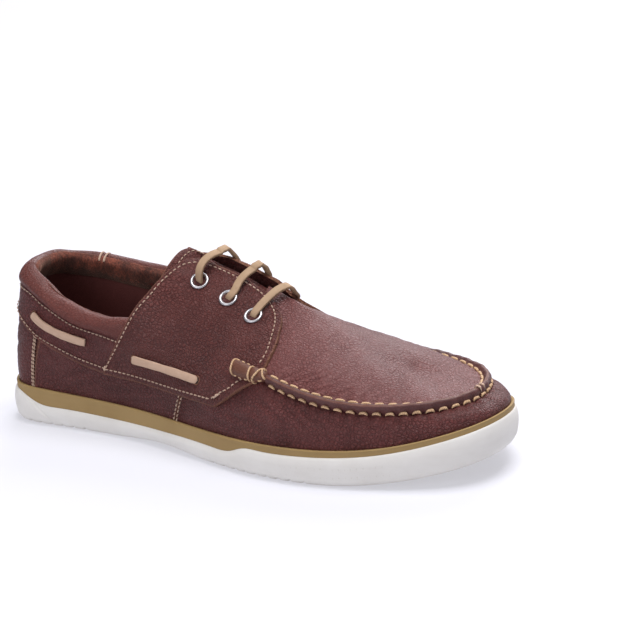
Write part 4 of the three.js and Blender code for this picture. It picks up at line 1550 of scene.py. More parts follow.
@dataclass
class Collar:
    """Padded roll round the top line, its nap inside, the lining and the sock."""

    form: Form
    lines: Lines
    looks: Wardrobe
    reach: float = 1.2
    section: Rows = ((0, 0.9), (0.05, -0.7), (0.2, -2.0), (0.45, -2.5), (0.72, -1.7), (0.92, 0.0), (1.0, 2.2),
            (0.98, 4.3), (0.88, 5.9), (0.74, 6.8),
                     (0.5, 7.0), (0.3, 6.6), (0.1, 5.4), (0.0, 4.0), (-0.02, 2.2))

    def frame_of(self, psi: Array) -> tuple[Array, Array, Array]:
        """Foot of the roll on the form, the rise to its top, and the inward direction.

        Args:
            psi: angles round the sole.

        Returns:
            The feet, the rises and the inward directions.
        """
        foot = self.form.point(psi, self.lines.collar_at(psi))
        head = self.form.point(psi, self.form.climb_to(psi, self.lines.top_at(psi)))
        round_heel = (1 - smooth(np.abs(psi), 0.55, 1.1))[:, None]
        aim = unit(np.array([44.0, 0.0]) - foot[:, :2])
        inward = unit(aim * round_heel - self.form.outward(psi) * (1 - round_heel))
        return foot + np.array([0, 0, 0.6]), head - foot, np.concatenate([inward, np.zeros((len(psi), 1))], 1)

    def pad(self, psi: Array, section: Array) -> Array:
        """Section carried round the top line: foot + rise * share + inward * depth, drawn in under the saddles.

        Args:
            psi: angles round the sole.
            section: rows of (share of the rise, depth in mm).

        Returns:
            The carried sections, (n, k, 3).
        """
        foot, rise, inward = self.frame_of(psi)
        tuck = smooth(np.abs(psi), 1.05, 1.2)
        depth = section[:, 1][None] + tuck[:, None] * 1.6
        return foot[:, None] + rise[:, None] * section[:, 0][None, :, None] + inward[:, None] * depth[..., None]

    def roll(self) -> None:
        """The padded roll: a closed tube that Cloth swells against its seam, then one subdivision."""
        psi = np.linspace(-self.reach, self.reach, 121)
        rows = np.asarray(self.section, float)
        pts = self.pad(psi, rows)
        c = Patches()
        c.grid(pts, closed_v=True, raw=0.0, dent=0.0).caps(pts, False)
        obj = c.object("collar_roll", weld=0.02)
        self.swell(obj, 1.0)
        smooth_it = obj.modifiers.new("round", "SUBSURF")
        smooth_it.levels = smooth_it.render_levels = 2
        finish_piece(obj, self.looks.roll, "collar_leather", "collar")

    def swell(self, obj: bpy.types.Object, cap: float) -> None:
        """Run Cloth with pressure for twenty frames, pinned along the collar's seam, and keep the moves under a cap.

        Args:
            obj: the pad.
            cap: furthest a point may move, in mm.
        """
        rest = np.array([v.co for v in obj.data.vertices])
        pins = obj.vertex_groups.new(name="seam")
        mm = rest * 1000 - SHIFT
        psi = np.linspace(-self.reach, self.reach, 241)
        foot, _, inward = self.frame_of(psi)
        seam = np.concatenate([foot + inward * 0.2, foot + inward * 7.0])
        d = np.sqrt(((mm[:, None] - seam[None]) ** 2).sum(-1)).min(1)
        pins.add(np.nonzero(d < 2.6)[0].tolist(), 1.0, "REPLACE")
        soft = obj.modifiers.new("swell", "CLOTH")
        soft.settings.use_pressure = True
        soft.settings.uniform_pressure_force = 4.0
        soft.settings.vertex_group_mass = "seam"
        soft.settings.effector_weights.gravity = 0.0
        soft.settings.quality = 5
        soft.settings.tension_stiffness = soft.settings.compression_stiffness = 12.0
        soft.settings.shrink_min = -0.02
        soft.point_cache.frame_start, soft.point_cache.frame_end = 1, 20
        scene = bpy.context.scene
        for f in range(1, 21):
            scene.frame_set(f)
        grown = obj.evaluated_get(bpy.context.evaluated_depsgraph_get()).to_mesh()
        moved = np.array([v.co for v in grown.vertices])
        obj.modifiers.remove(soft)
        scene.frame_set(1)
        step = moved - rest
        far = np.linalg.norm(step, axis=1, keepdims=True) * 1000
        step *= np.minimum(1, cap / np.maximum(far, 1e-9))
        obj.data.vertices.foreach_set("co", (rest + step).astype(np.float32).ravel())
        obj.data.update()
        LOG.info("collar roll swelled by up to %.2f mm, kept under %.2f", far.max(), cap)

    def nap(self) -> None:
        """Suede face of the pad inside: bulges below the roll and thins out to its lower seam, its colour darkened
        towards that seam as painted shade.
        """
        psi = np.linspace(-1.22, 1.22, 250)
        share = np.linspace(0, 1, 32)
        depth = Table([(0, 6.0), (0.1, 7.6), (0.25, 8.4), (0.5, 7.9), (0.78, 6.2), (1.0, 4.2)])(share)
        foot, rise, inward = self.frame_of(psi)
        tall = np.linalg.norm(rise, axis=1)
        up = unit(rise)
        fill = 1 - 0.3 * smooth(np.abs(psi), 0.9, 1.2) - 0.2 * smooth(psi, 0.3, 0.6)
        climb = (tall * 0.88)[:, None] - 14.0 * share[None]
        pts = (foot[:, None] + up[:, None] * climb[..., None] + inward[:, None]
               * (depth[None] * fill[:, None])[..., None])
        change = Unevenness(0.2, 61)(pts.reshape(-1, 3)).reshape(pts.shape[:2])
        pts = pts + inward[:, None] * change[..., None]
        back = pts - inward[:, None] * 0.6 + up[:, None] * 0.2
        c = Patches()
        # painted shade: the nap's lower half darkens towards its seam, where shade falls inside the collar
        c.sheet(pts, back, raw=0.0, dent=change, grime=smooth(share, 0.5, 1.0)[None] * np.ones((len(psi), 1)))
        finish_piece(c.object("collar_nap_face"), self.looks.nap, "lining")

    def lining(self) -> None:
        """Smooth lining from the sock up to the pad's lower seam, round the heel and along both sides."""
        f = self.form
        u = np.linspace(-1.62, 1.62, 260)
        phi = np.abs(u)
        top = np.where(phi < 1.2, self.lines.collar_at(u), np.interp(phi, [1.2, 1.62],
                [float(self.lines.collar_at(np.array(1.2))), 0.7]))
        v = np.linspace(0, 1, 36)
        th = 0.01 + v[None] * (top - 0.02)[:, None]
        psi = np.broadcast_to(u[:, None], th.shape)
        p, n = f.point(psi, th), f.facing(psi, th)
        change = Unevenness(0.25, 71)(p.reshape(-1, 3)).reshape(th.shape)
        c = Patches()
        face, back = p + n * (-2.6 + change * 0.6)[..., None], p + n * -1.6
        # dent is the lining's relief seen from inside, so its colour darkens where the face sinks back: painted shade
        c.sheet(face, back, turned=True, raw=0.0, dent=-change)
        finish_piece(c.object("side_lining"), self.looks.lining, "lining")

    def sock(self) -> None:
        """Insole: a cushioned sheet, dished under the heel, rounded over at its edge."""
        f = self.form
        half = np.linspace(0.02, math.pi - 0.02, 150)
        v = np.linspace(0, 1, 44)
        out, inn = f.inset(half, 6.0), f.inset(TURN - half, 6.0)
        q = out[:, None] + (inn - out)[:, None] * v[None, :, None]
        s = np.abs(v * 2 - 1)[None]
        ends = smooth(q[..., 0], 4, 16) * smooth(292 - q[..., 0], 4, 20)
        z = (f.feather_z(q[..., 0]) + 4.2 * np.sqrt(np.maximum(1 - s**8, 0)) * ends
             + 1.6 * s**2 * smooth(90 - q[..., 0], 0, 60))
        z = z + Unevenness(0.25, 81)(np.concatenate([q, z[..., None]], -1).reshape(-1, 3)).reshape(z.shape) * ends
        c = Patches()
        top = np.concatenate([q, z[..., None]], -1)
        under = np.concatenate([q, (f.feather_z(q[..., 0]) - 0.1)[..., None]], -1)
        c.sheet(top, under, raw=0.0, dent=0.0)
        finish_piece(c.object("sock"), self.looks.insole, "insole_leather", "insole")

    def ties(self) -> None:
        """Two pale threads laid over the roll on its inner side, where the two halves of the collar meet."""
        c = Patches()
        over = np.array([(0.45, -2.5), (0.72, -1.7), (0.895, -0.1), (0.96, 2.2), (0.94, 4.4), (0.85, 6.8),
                (0.72, 8.2)])
        for phi in (0.708, 0.742):
            cord = tube(ease_path(self.pad(np.array([-phi]), over)[0], 26), 0.6, 8)
            c.grid(cord, closed_v=True, raw=0.0, dent=0.0).caps(cord, False)
        finish_piece(c.object("collar_ties", weld=0.002), self.looks.fine, "thread")

    def build(self) -> None:
        """Make the collar and what lies inside the shoe."""
        self.roll()
        self.ties()
        self.nap()
        self.lining()
        self.sock()


@dataclass
class ApronSeam:
    """The raised hand-sewn seam round the forefoot, its two stitch rows and the tabs that end it."""

    form: Form
    upper: Upper
    looks: Wardrobe
    start: float = 1.80
    section: Rows = ((2.7, -0.6), (2.35, 0.7), (2.15, 2.0), (1.75, 3.2), (1.0, 3.95), (0.1, 4.15), (-0.75, 3.9),
            (-1.25, 3.1), (-1.5, 1.9), (-1.75, 0.7), (-2.1, -0.6))

    def lip(self) -> None:
        """Two edges of leather pinched together: the section carried along the seam, its outer face dented at each
        stitch hole and its crest wavering a little."""
        f = self.form
        psi = np.linspace(self.start, TURN - self.start, 720)
        th = f.rib(psi).seam
        p, n = f.point(psi, th), f.facing(psi, th)
        up = f.up_rib(psi, th)
        s = lengths(p)
        rows = np.asarray(self.section, float)
        fine = read(rows, lengths(rows) / lengths(rows)[-1], np.linspace(0, 1, 31))
        along = fine[:, 0][None] - 0.30 * np.cos(TURN * s / APRON_PITCH)[:, None] * smooth(fine[:, 0], 0.8, 2.3)[None]
        along = along + 0.22 * np.cos(TURN * s / APRON_PITCH + 0.7)[:, None] * smooth(-fine[:, 0], 0.6, 1.7)[None]
        end = smooth(s, 0, 6) * smooth(s[-1] - s, 0, 6)
        lift = (fine[:, 1][None] * (0.72 + 0.28 * end)[:, None] + (0.16 * np.sin(s * 0.41)
                + 0.12 * np.sin(s * 0.93 + 1))[:, None] * smooth(fine[:, 1], 1, 4)[None])
        pts = p[:, None] - up[:, None] * along[..., None] + n[:, None] * lift[..., None]
        crest = bell(fine[:, 0], -0.1, 0.42)[None] * np.ones((len(s), 1))
        notch = bell(fine[:, 0], -0.1, 0.16)[None]
        pts = pts - n[:, None] * (notch * 0.22)[..., None]
        c = Patches()
        c.grid(pts, closed_v=True, flip=True, raw=crest * 0.55, dent=0.0).caps(pts, True, 0.5)
        finish_piece(c.object("apron_ridge", weld=0.004), self.looks.lip, "seam_leather", "apron_seam")

    def stitches(self) -> None:
        """Thick waxed stitches: an outer row at the foot of the ridge, an inner row close to the plug, and two that
        cross the ridge at the toe."""
        f = self.form
        for name, along, off, share in (("outer", -2.75, 0.62, 0.70), ("inner", 2.2, 0.9, 0.86)):
            c = Patches()
            line = self.upper.seam_points(along, off, self.start + 0.015)
            s = lengths(line)
            count = round(s[-1] / APRON_PITCH)
            mid = (np.arange(count) + 0.5) * s[-1] / count
            t = unit(np.gradient(line, axis=0))
            psi = np.linspace(self.start + 0.015, TURN - self.start - 0.015, len(line))
            n = f.facing(psi, f.rib(psi).seam)
            k = -1.0 if along < 0 else 1.0
            up = unit(np.cross(n, t)) * -k
            lean = unit(n + (0.35 if k < 0 else -0.2) * up)
            Stitch(pitch=APRON_PITCH, share=share, radius=0.84 if k < 0 else 0.82, lift=0.2, sink=1.1,
                   slant=0.06 * k).sew(c, read(line, s, mid), unit(read(t, s, mid)), unit(read(lean, s, mid)),
                    share * s[-1] / count)
            finish_piece(c.object(f"apron_stitches_{name}", weld=0.002), self.looks.thick, "thread")
        c = Patches()
        for at in (math.pi - 0.006, math.pi + 0.055):
            psi = np.array([at])
            th = f.rib(psi).seam
            up, n = f.up_rib(psi, th), f.facing(psi, th)
            Stitch(radius=0.62, lift=0.1, sink=2.2).sew(c, f.point(psi, th) + n * 4.35, up, n, 4.4)
        finish_piece(c.object("apron_toe_ties", weld=0.002), self.looks.fine, "thread")

    def tab(self, side: Side) -> None:
        """Rolled tab at the end of the ridge, wrapped by thread loops: an oval cord along the leather, waisted
        where the thread pulls it in.

        Args:
            side: which flank.
        """
        f = self.form
        s = np.linspace(0, 1, 90)
        phi = 1.648 + 0.168 * s
        psi = f.turn(side, phi)
        z = 50.6 - 1.9 * s - 0.8 * np.sin(math.pi * s)
        th = f.climb_to(psi, z)
        swell = np.sqrt(np.clip(1 - np.abs(2 * s - 1) ** 5, 0.0, 1))
        waist = 1 - 0.16 * bell(s, 0.60, 0.05) - 0.10 * bell(s, 0.80, 0.04)
        wide = (4.7 - 1.2 * s) * waist * swell
        tall = (4.4 - 0.5 * s) * waist * swell
        p, n = f.skin(psi, th, 0), f.facing(psi, th)
        up = f.up_rib(psi, th)
        a = circle(28)
        ca, sa = np.cos(a), np.sin(a)
        shape_w, shape_t = np.sign(ca) * np.abs(ca) ** 0.8, np.where(sa > 0, np.abs(sa) ** 0.75, -0.5 * np.abs(sa))
        dent = 0.22 * np.sin(s * 31)[:, None] * np.cos(2 * a)[None] * swell[:, None]
        pts = (p[:, None] + up[:, None] * (wide[:, None] * shape_w[None] + dent)[..., None]
               + n[:, None] * (1.7 + tall[:, None] * shape_t[None])[..., None])
        c = Patches()
        c.grid(pts, closed_v=True, flip=side is Side.INNER, raw=np.clip(1.2 - 9 * s, 0, 0.8)[:, None] * np.ones(28),
               dent=0.0)
        finish_piece(c.object(f"tab_piece_{word(side)}", weld=0.004), self.looks.tab, "seam_leather",
                     f"tab_{word(side)}")
        c = Patches()
        for at, lean, grow in ((0.10, 0.0, 0.25), (0.585, 0.0, 0.3), (0.79, 0.10, 0.35), (0.93, -0.06, 0.4)):
            place = at + lean * ca
            w, t = np.interp(place, s, wide) + grow, np.interp(place, s, tall) + grow
            loop = (read(p, s, place) + read(up, s, place) * (w * shape_w)[:, None]
                    + read(n, s, place) * (1.7 + t * shape_t)[:, None])
            c.grid(tube(loop, 0.55, 6, closed=True), closed_u=True, closed_v=True, flip=side is Side.INNER)
        finish_piece(c.object(f"tab_loops_{word(side)}"), self.looks.thick, "thread")
        c = Patches()
        for edge, places in ((-1, (0.20, 0.34, 0.50, 0.69, 0.86)), (1, (0.16, 0.30, 0.45, 0.86))):
            at = np.array(places)
            centre = (read(p, s, at) + read(up, s, at) * (edge * (np.interp(at, s, wide) * 0.93))[:, None]
                      + read(n, s, at) * 3.1)
            t = unit(read(np.gradient(p, axis=0), s, at))
            THICK_TAB.sew(c, centre, t, unit(read(n, s, at) * 0.6 + read(up, s, at) * edge), 2.6)
        finish_piece(c.object(f"tab_stitches_{word(side)}", weld=0.002), self.looks.thick, "thread")

    def build(self) -> None:
        """Make the ridge, its stitches and the tabs."""
        self.lip()
        self.stitches()
        for side in Side:
            self.tab(side)


@dataclass
class Lacing:
    """Eyelets, the three bars over the throat and the side laces with their holes."""

    form: Form
    looks: Wardrobe
    width: float = 4.3
    thick: float = 1.7

    def place(self, side: Side, i: int) -> tuple[float, float]:
        """psi and climb of an eyelet."""
        phi, th = EYELETS[i]
        return float(self.form.turn(side, phi)), th - (INNER_DROP if side is Side.INNER else 0.0)

    def eyelet(self, side: Side, i: int) -> None:
        """Rolled ring: a profile turned about the leather's normal, its barrel going down into the hole.

        Args:
            side: which flank.
            i: which eyelet, from the back.
        """
        f = self.form
        psi, th = self.place(side, i)
        centre = f.skin(np.array([psi]), np.array([th]), 2.15)[0]
        axis = unit(f.facing(np.array([psi]), np.array([th]))[0])
        a = unit(np.cross(axis, np.array([0.2, 0.1, 1.0])))
        b = np.cross(axis, a)
        prof = np.array([(2.9, -3.4), (2.95, -1.6), (3.15, -0.4), (3.45, 0.3), (3.7, 0.6), (4.0, 0.78), (4.35, 0.82),
                (4.7, 0.7), (4.95, 0.42), (5.05, 0.1), (4.98, -0.2), (4.4, -0.25),
                         (3.4, -0.7), (3.1, -1.6), (3.1, -3.4)])
        ang = circle(56)
        pts = (centre + prof[:, 0][None, :, None] * (a * np.cos(ang)[:, None] + b * np.sin(ang)[:, None])[:, None]
               + axis * prof[:, 1][None, :, None])
        c = Patches()
        c.grid(pts, closed_u=True, closed_v=True)
        finish_piece(c.object(f"eyelet_ring_{word(side)}_{i + 1}"), self.looks.nickel, "eyelet_nickel",
                     f"eyelet_{word(side)}_{i + 1}")
        # a near-black disc down in the barrel: painted shade inside the eyelet
        c = Patches()
        r = np.array([0.0, 1.2, 2.7])
        shade_disc = (centre + r[None, :, None] * (a * np.cos(ang)[:, None] + b * np.sin(ang)[:, None])[:, None] + axis *
                -2.9)
        c.grid(shade_disc, closed_u=True, flip=True)
        finish_piece(c.object(f"eyelet_shade_disc_{word(side)}_{i + 1}", weld=0.002), self.looks.hole, "lining")

    def strap(self, path: Array, wide: Array, width: Array | float, thick: float,
              soft: tuple[bool, bool] = (False, False)) -> Patches:
        """Flat lace: a rectangle with rounded corners carried along a path.

        Args:
            path: (n, 3) middle line.
            wide: (n, 3) direction of the width.
            width: width at each point.
            thick: thickness.
            soft: close the first and the last end in a half round.

        Returns:
            The gathered mesh.
        """
        t = unit(np.gradient(path, axis=0))
        w = unit(wide - t * (wide * t).sum(1, keepdims=True))
        n = np.cross(t, w)
        h, k = 0.5, 0.5 - 0.28 * thick / self.width
        sec = np.array([(-k, -h), (0, -h), (k, -h), (h - 0.03, -0.42), (h, -0.2), (h, 0.2), (h - 0.03, 0.42), (k, h),
                        (0, h + 0.03), (-k, h), (-h + 0.03, 0.42), (-h, 0.2), (-h, -0.2), (-h + 0.03, -0.42)])
        s = lengths(path)
        wd = np.broadcast_to(width, len(path)).astype(float).copy()
        tk = np.full(len(path), thick)
        for d in (e for e, on in zip((s, s[-1] - s), soft) if on):
            wd = wd * np.sqrt(np.clip(1 - (1 - np.clip(d / 1.9, 0, 1)) ** 2, 0.0, 1))
            tk = tk * (0.25 + 0.75 * np.sqrt(np.clip(1 - (1 - np.clip(d / 1.0, 0, 1)) ** 2, 0, 1)))
        pts = (path[:, None] + w[:, None] * (wd[:, None] * sec[:, 0][None])[..., None]
               + n[:, None] * (tk[:, None] * sec[:, 1][None])[..., None])
        edge = np.clip((np.abs(sec[:, 0]) - 0.38) / 0.1, 0, 1)[None] * np.ones((len(path), 1))
        c = Patches()
        c.grid(pts, closed_v=True, flip=True, uv=(s, np.linspace(0, 11, len(sec) + 1)), raw=edge)
        if not all(soft):
            c.caps(pts, True, 0.6)
        return c

    def clear(self, path: Array) -> Array:
        """Push the middle of a path out until it clears the saddles by 1.1 mm, and even it out again.

        Args:
            path: (n, 3) middle line.

        Returns:
            The cleared path.
        """
        psi, th = np.meshgrid(np.concatenate([np.linspace(1.25, 1.82, 90),
                np.linspace(TURN - 1.82, TURN - 1.25, 90)]), np.linspace(0.8, 1.27, 50), indexing="ij")
        skin = self.form.skin(psi, th, 2.1 + Instep.stand(psi, th)).reshape(-1, 3)
        facing = self.form.facing(psi, th).reshape(-1, 3)
        k = np.argmin(((path[:, None] - skin[None]) ** 2).sum(-1), 1)
        high = ((path - skin[k]) * facing[k]).sum(1)
        s = np.linspace(0, 1, len(path))
        need = np.maximum(1.1 - high, 0) * smooth(s, 0.07, 0.13) * (1 - smooth(s, 0.9, 0.95))
        need = np.convolve(np.pad(need, 6, "edge"), np.hanning(13) / np.hanning(13).sum(), "valid")
        return path + facing[k] * need[:, None]

    def bar(self, i: int, way: Rows, home: Rows) -> None:
        """One bar: up out of the outer eyelet, slanting forwards over the throat, and down into the inner one.

        Args:
            i: which eyelet pair, from the back.
            way: steps (forward, inward, up) in mm from the outer eyelet.
            home: steps from the inner eyelet, on the far side.
        """
        f = self.form
        ends = []
        for side in Side:
            psi, th = (np.array([v]) for v in self.place(side, i))
            ends.append((f.skin(psi, th, 2.2)[0], f.facing(psi, th)[0]))
        (a, na), (b, nb) = ends
        rows = np.concatenate([[a - 4 * na, a - 0.8 * na], a + np.array(way), b + np.array(home),
                [b + 0.4 * nb, b - 3.5 * nb]])
        path = self.clear(ease_path(rows, 140))
        s = np.linspace(0, 1, len(path))
        wide = np.broadcast_to(unit(np.array([1.0, -0.12, -0.42])), path.shape)
        width = self.width * (1 - 0.16 * bell(s, 0, 0.1) - 0.16 * bell(s, 1, 0.1)) * (1 + 0.02 * np.sin(17 * s))
        finish_piece(self.strap(path, wide, width, self.thick).object(f"lace_piece_{i + 1}", weld=0.002),
                     self.looks.lace, "lace_leather", f"lace_bar_{i + 1}")

    def side_lace(self, side: Side, name: str, rows: Rows, base: float, square: bool = False) -> None:
        """Side lace that surfaces between two punched holes, with the holes' raw rims and near-black discs of painted
        shade in them.

        Args:
            side: flank.
            name: front or rear.
            rows: (phi, climb) of its middle line.
            base: height of the leather below it.
            square: the front end is cut square instead of rounded.
        """
        f = self.form
        psi, th = f.run(side, rows, count=80)
        s = np.linspace(0, 1, 80)
        lift = base + 0.55 + 0.75 * np.sin(math.pi * s) ** 0.7 - 0.25 * bell(s, 0, 0.03) - 0.25 * bell(s, 1, 0.03)
        path, n = f.skin(psi, th, lift), f.facing(psi, th)
        t = unit(np.gradient(path, axis=0))
        wide = np.cross(n, t) * (-1 if side is Side.OUTER else 1)
        width = 4.2 * (1 + 0.04 * np.sin(9 * s + 1) + 0.03 * np.sin(23 * s))
        obj = self.strap(path, wide * -side.value, width, 1.5, (True,
                not square)).object(f"side_lace_piece_{word(side)}_{name}", weld=0.004)
        finish_piece(obj, self.looks.side_lace, "side_lace_leather", f"side_lace_{word(side)}_{name}")
        rims, hole_shades = Patches(), Patches()
        ang = circle(40)
        for k in (0,) if square else (0, -1):
            at, nn, tt = f.skin(psi[[k]], th[[k]], base)[0], n[k], t[k]
            ww = np.cross(nn, tt)
            at = at + tt * (0.9 if k == 0 else -0.9)
            ring = at + tt * (np.cos(ang) * 1.75)[:, None] + ww * (np.sin(ang) * 2.3)[:, None] + nn * 0.02
            rims.grid(tube(ring, 0.34, 8, closed=True), closed_u=True, closed_v=True, raw=1.0, dent=0.0, flip=True)
            # a near-black disc in the hole: painted shade
            r = np.array([0.0, 0.5, 1.0])
            shade_disc = (at + (tt * (np.cos(ang) * 1.7)[:, None] + ww * (np.sin(ang) * 2.25)[:, None])[:, None]
                    * r[None, :, None] + nn * 0.12)
            hole_shades.grid(shade_disc, closed_u=True, flip=True)
        finish_piece(rims.object(f"lace_hole_rims_{word(side)}_{name}"), self.looks.saddle, "saddle_leather")
        finish_piece(hole_shades.object(f"lace_hole_shades_{word(side)}_{name}", weld=0.002), self.looks.hole, "lining")

    def build(self) -> None:
        """Make the eyelets, bars and side laces."""
        for side in Side:
            for i in range(3):
                self.eyelet(side, i)
            self.side_lace(side, "front", ((1.188, 0.250), (1.330, 0.262), (1.514, 0.270)), 2.05)
            self.side_lace(side, "rear", self.form.heights(((0.606, 62.0), (0.66, 58.6), (0.73, 55.7), (0.82, 53.0),
                    (0.948, 50.3))), 1.2, True)
        self.bar(0, ((0.2, 0.4, 5.3), (1.2, 3.5, 9.6), (2.6, 7.3, 11.6), (4.8, 13.6, 12.3), (7, 19.9, 10.1),
                     (8.3, 23.6, 6.1)), ((4.2, 1.5, 3.6),))
        self.bar(1, ((1.9, 2.0, 2.2), (3.0, 6.0, 6.6), (5.2, 11.1, 10.6), (7.7, 16.7, 12.7), (9.6, 20.9, 12.5),
                     (10.1, 22.6, 8.4)), ((5.2, 0.6, 4.6), (1.6, 1.6, 3.2)))
        self.bar(2, ((1.7, 3.3, 3.4), (4.9, 9.8, 8.2), (8.7, 17.5, 11.2), (10.2, 20.6, 10.6), (10.6, 23, 7.6)),
                 ((6.0, -2.6, 5.0), (2.2, 0.6, 3.2)))


@dataclass
class Sole:
    """White outsole with its stepped side and wavy cuts, and the tan strip above it."""

    form: Form
    looks: Wardrobe
    strip_low: Table = field(default_factory=lambda: Table(((0, 17.3), (14, 17.2), (26, 12.2), (40, 10.8), (70, 9.9),
            (110, 9.4), (150, 9.6), (163, 10.4), (172, 13.6), (182, 14.2), (200, 14.5), (250, 18.4), (296, 30))))
    around: int = 700
    foot: float = 2.9

    @staticmethod
    def ground(x: Array) -> Array:
        """Height of the underside: toe spring, arch and a touch at the back."""
        arch = np.where((x > 74) & (x < 148), 1.8 * np.sin(math.pi * (x - 74) / 74) ** 2, 0)
        return 13 * np.clip((x - 212) / 84, 0, 1) ** 2 + arch + 1.2 * np.clip((8 - x) / 8, 0, 1) ** 2

    def wall(self, x: Array, share: float) -> Array:
        """Height of the side at a share of its climb, from its foot to just below the strip."""
        low = self.ground(x) + self.foot
        return low + (self.strip_low(x) - 0.1 - low) * share

    def rings(self, psi: Array, rows: Sequence[tuple[float, Callable[[Array], Array]]]) -> Array:
        """Rings round the sole from pairs (inset, height), the height a function of x.

        Args:
            psi: angles round the sole.
            rows: the pairs, from the ground up.

        Returns:
            The rings, (n, rows, 3).
        """
        out = []
        for inset, height in rows:
            q = self.form.inset(psi, np.full(len(psi), inset))
            out.append(np.concatenate([q, height(q[:, 0])[:, None]], 1))
        return np.stack(out, 1)

    def deck(self, c: Patches, ring: Array, across: int, height: Callable[[Array], Array], down: bool,
             **marks: float) -> None:
        """Close a ring of the sole by a sheet of rungs from its outer to its inner side, at a height of (x, y).

        Args:
            c: mesh to add to.
            ring: (n, 3) ring to close.
            across: points on each rung.
            height: height of the sheet.
            down: the sheet faces down.
            marks: attribute values.
        """
        n = len(ring) // 2
        outer, inner = ring[: n + 1], np.concatenate([ring[:1], ring[:n - 1:-1]])
        v = np.linspace(0, 1, across)
        g = outer[:, None] + (inner - outer)[:, None] * v[None, :, None]
        z = height(g)
        fade = np.minimum(1, np.minimum(v, 1 - v)[None] * np.linalg.norm(inner - outer, axis=1)[:, None] / 0.8)
        g = np.concatenate([g[..., :2], (g[..., 2] * (1 - fade) + z * fade)[..., None]], -1)
        c.grid(g, flip=down, **marks)

    def outsole(self) -> None:
        """Side profile: rounded off the floor, a soft bulge, a small shelf below the strip. Bounded by slanted step
        lines, the side stands 0.45 mm proud at the heel and 0.28 mm from the ball forwards. The cuts underneath reach
        it as nicks 1.3 mm high."""
        psi = circle(self.around)
        low = self.strip_low
        base = ((4.2, 0.0), (3.2, 0.12), (2.2, 0.75), (1.45, 1.7), (0.9, self.foot))
        rows = [(inset, lambda x, up=up: self.ground(x) + up) for inset, up in base]
        for t in np.linspace(0, 1, 26)[1:]:
            inset = 0.85 * (1 - t) ** 3 - 0.35 * np.sin(math.pi * t) + 0.9 * t**4
            rows.append((inset, lambda x, t=t: self.wall(x, t)))
        rows += [(inset, lambda x, up=up: low(x) + up) for inset, up in ((1.15, 0.18), (1.5, 0.25), (3.0, 0.1))]
        pts = self.rings(psi, rows)
        x, z = pts[..., 0], pts[..., 2]
        heel_line = 22 + (13 - z) * 1.35
        ball_line = 168 - (12 - z) * 0.4
        on_side = smooth(z - self.ground(x), 1.0, 3.0) * smooth(low(x) + 0.3 - z, 0.0, 0.8)
        proud = (0.45 * (1 - smooth(x, heel_line - 0.5, heel_line + 0.5))
                 + 0.28 * smooth(x, ball_line - 1.2, ball_line + 1.2))
        line = -0.3 * bell(x - heel_line, 0.9, 0.45)
        nick = np.zeros_like(x)
        for at in (*HEEL_CUTS, *BALL_CUTS[:-2]):
            nick += bell(x, at, 0.75) * (1 - smooth(z - self.ground(x), 0.9, 2.3))
        pts[..., :2] += self.form.outward(psi)[:, None] * ((proud + line) * on_side)[..., None]
        pts[..., 2] += 1.3 * nick
        s = lengths(np.concatenate([pts[:, 12], pts[:1, 12]]))
        v = lengths(pts[90])
        c = Patches()
        stipple = (smooth(x, 186, 205) * smooth(262 - x, 0, 18) * smooth(z - self.ground(x), 2.5, 5)
                   * smooth(low(x) - z, 2.0, 4.5))
        # darker along the bottom 1.8 mm of the side, and on the underside below
        grime = 0.5 * (1 - smooth(z - self.ground(x), 0.1, 1.8))
        c.grid(pts, closed_u=True, uv=(s, np.concatenate([v, [v[-1]]])), stipple=stipple, grime=grime)

        def tread(g: Array) -> Array:
            """Underside: waves x = at + 1.5 cos(5 pi y / half) cut 1.4 mm deep, with fine ribs between them.

            Args:
                g: (n, k, 3) points.

            Returns:
                Their heights.
            """
            gx, gy = g[..., 0], g[..., 1]
            z0 = self.ground(gx)
            depth = np.zeros_like(gx)
            for at, half in [(a, 21) for a in HEEL_CUTS] + [(a, 34) for a in BALL_CUTS]:
                wave = 1.5 * np.cos(gy * math.pi / (half / 2.5))
                depth = np.maximum(depth, bell(gx - at, wave, 0.8) * smooth(half + 6 - np.abs(gy), 0, 3))
            ball = 0.25 * (1 + np.cos(gx * TURN / 4.8)) * smooth(gx, 64, 70) * smooth(148 - gx, 0, 6)
            return z0 + 1.4 * depth + ball

        self.deck(c, pts[:, 0], 76, tread, True, stipple=0.0, grime=0.55)
        self.deck(c, pts[:, -1], 8, lambda g: low(g[..., 0]), False, stipple=0.0, grime=0.0)
        finish_piece(c.object("outsole_piece", weld=0.004), self.looks.white, "outsole_white", "outsole")

    def strip(self) -> None:
        """Tan strip: a flat band with softly rolled top edge, slightly hollow, with a moulding line near its top."""
        psi = circle(self.around)
        low = self.strip_low

        def top(x: Array) -> Array:
            """Height of the strip's upper edge."""
            return self.form.feather_z(x) + 0.25

        rows = [(inset, lambda x, up=up: low(x) + up) for inset, up in ((3.2, 0.15), (1.5, 0.05))]
        for t, inset in ((0.02, 1.28), (0.1, 1.22), (0.3, 1.3), (0.5, 1.35), (0.68, 1.3), (0.8, 1.2), (0.88, 1.2),
                (0.94, 1.3), (0.985, 1.55), (1.0, 1.9)):
            rows.append((inset, lambda x, t=t: low(x) + (top(x) - low(x)) * t))
        rows += [(inset, lambda x, down=down: top(x) - down) for inset, down in ((2.5, 0.05), (3.4, 0.7), (5.0, 0.9))]
        pts = self.rings(psi, rows)
        s = lengths(np.concatenate([pts[:, 5], pts[:1, 5]]))
        c = Patches()
        c.grid(pts, closed_u=True, uv=(s, np.arange(pts.shape[1] + 1.0)), grime=0.0)
        self.deck(c, pts[:, 0], 6, lambda g: low(g[..., 0]) + 0.15, True, grime=0.0)
        self.deck(c, pts[:, -1], 6, lambda g: top(g[..., 0]) - 0.9, False, grime=0.0)
        finish_piece(c.object("strip_piece", weld=0.004), self.looks.tan, "midsole_tan", "midsole")

    def build(self) -> None:
        """Make the outsole and the strip."""
        self.outsole()
        self.strip()


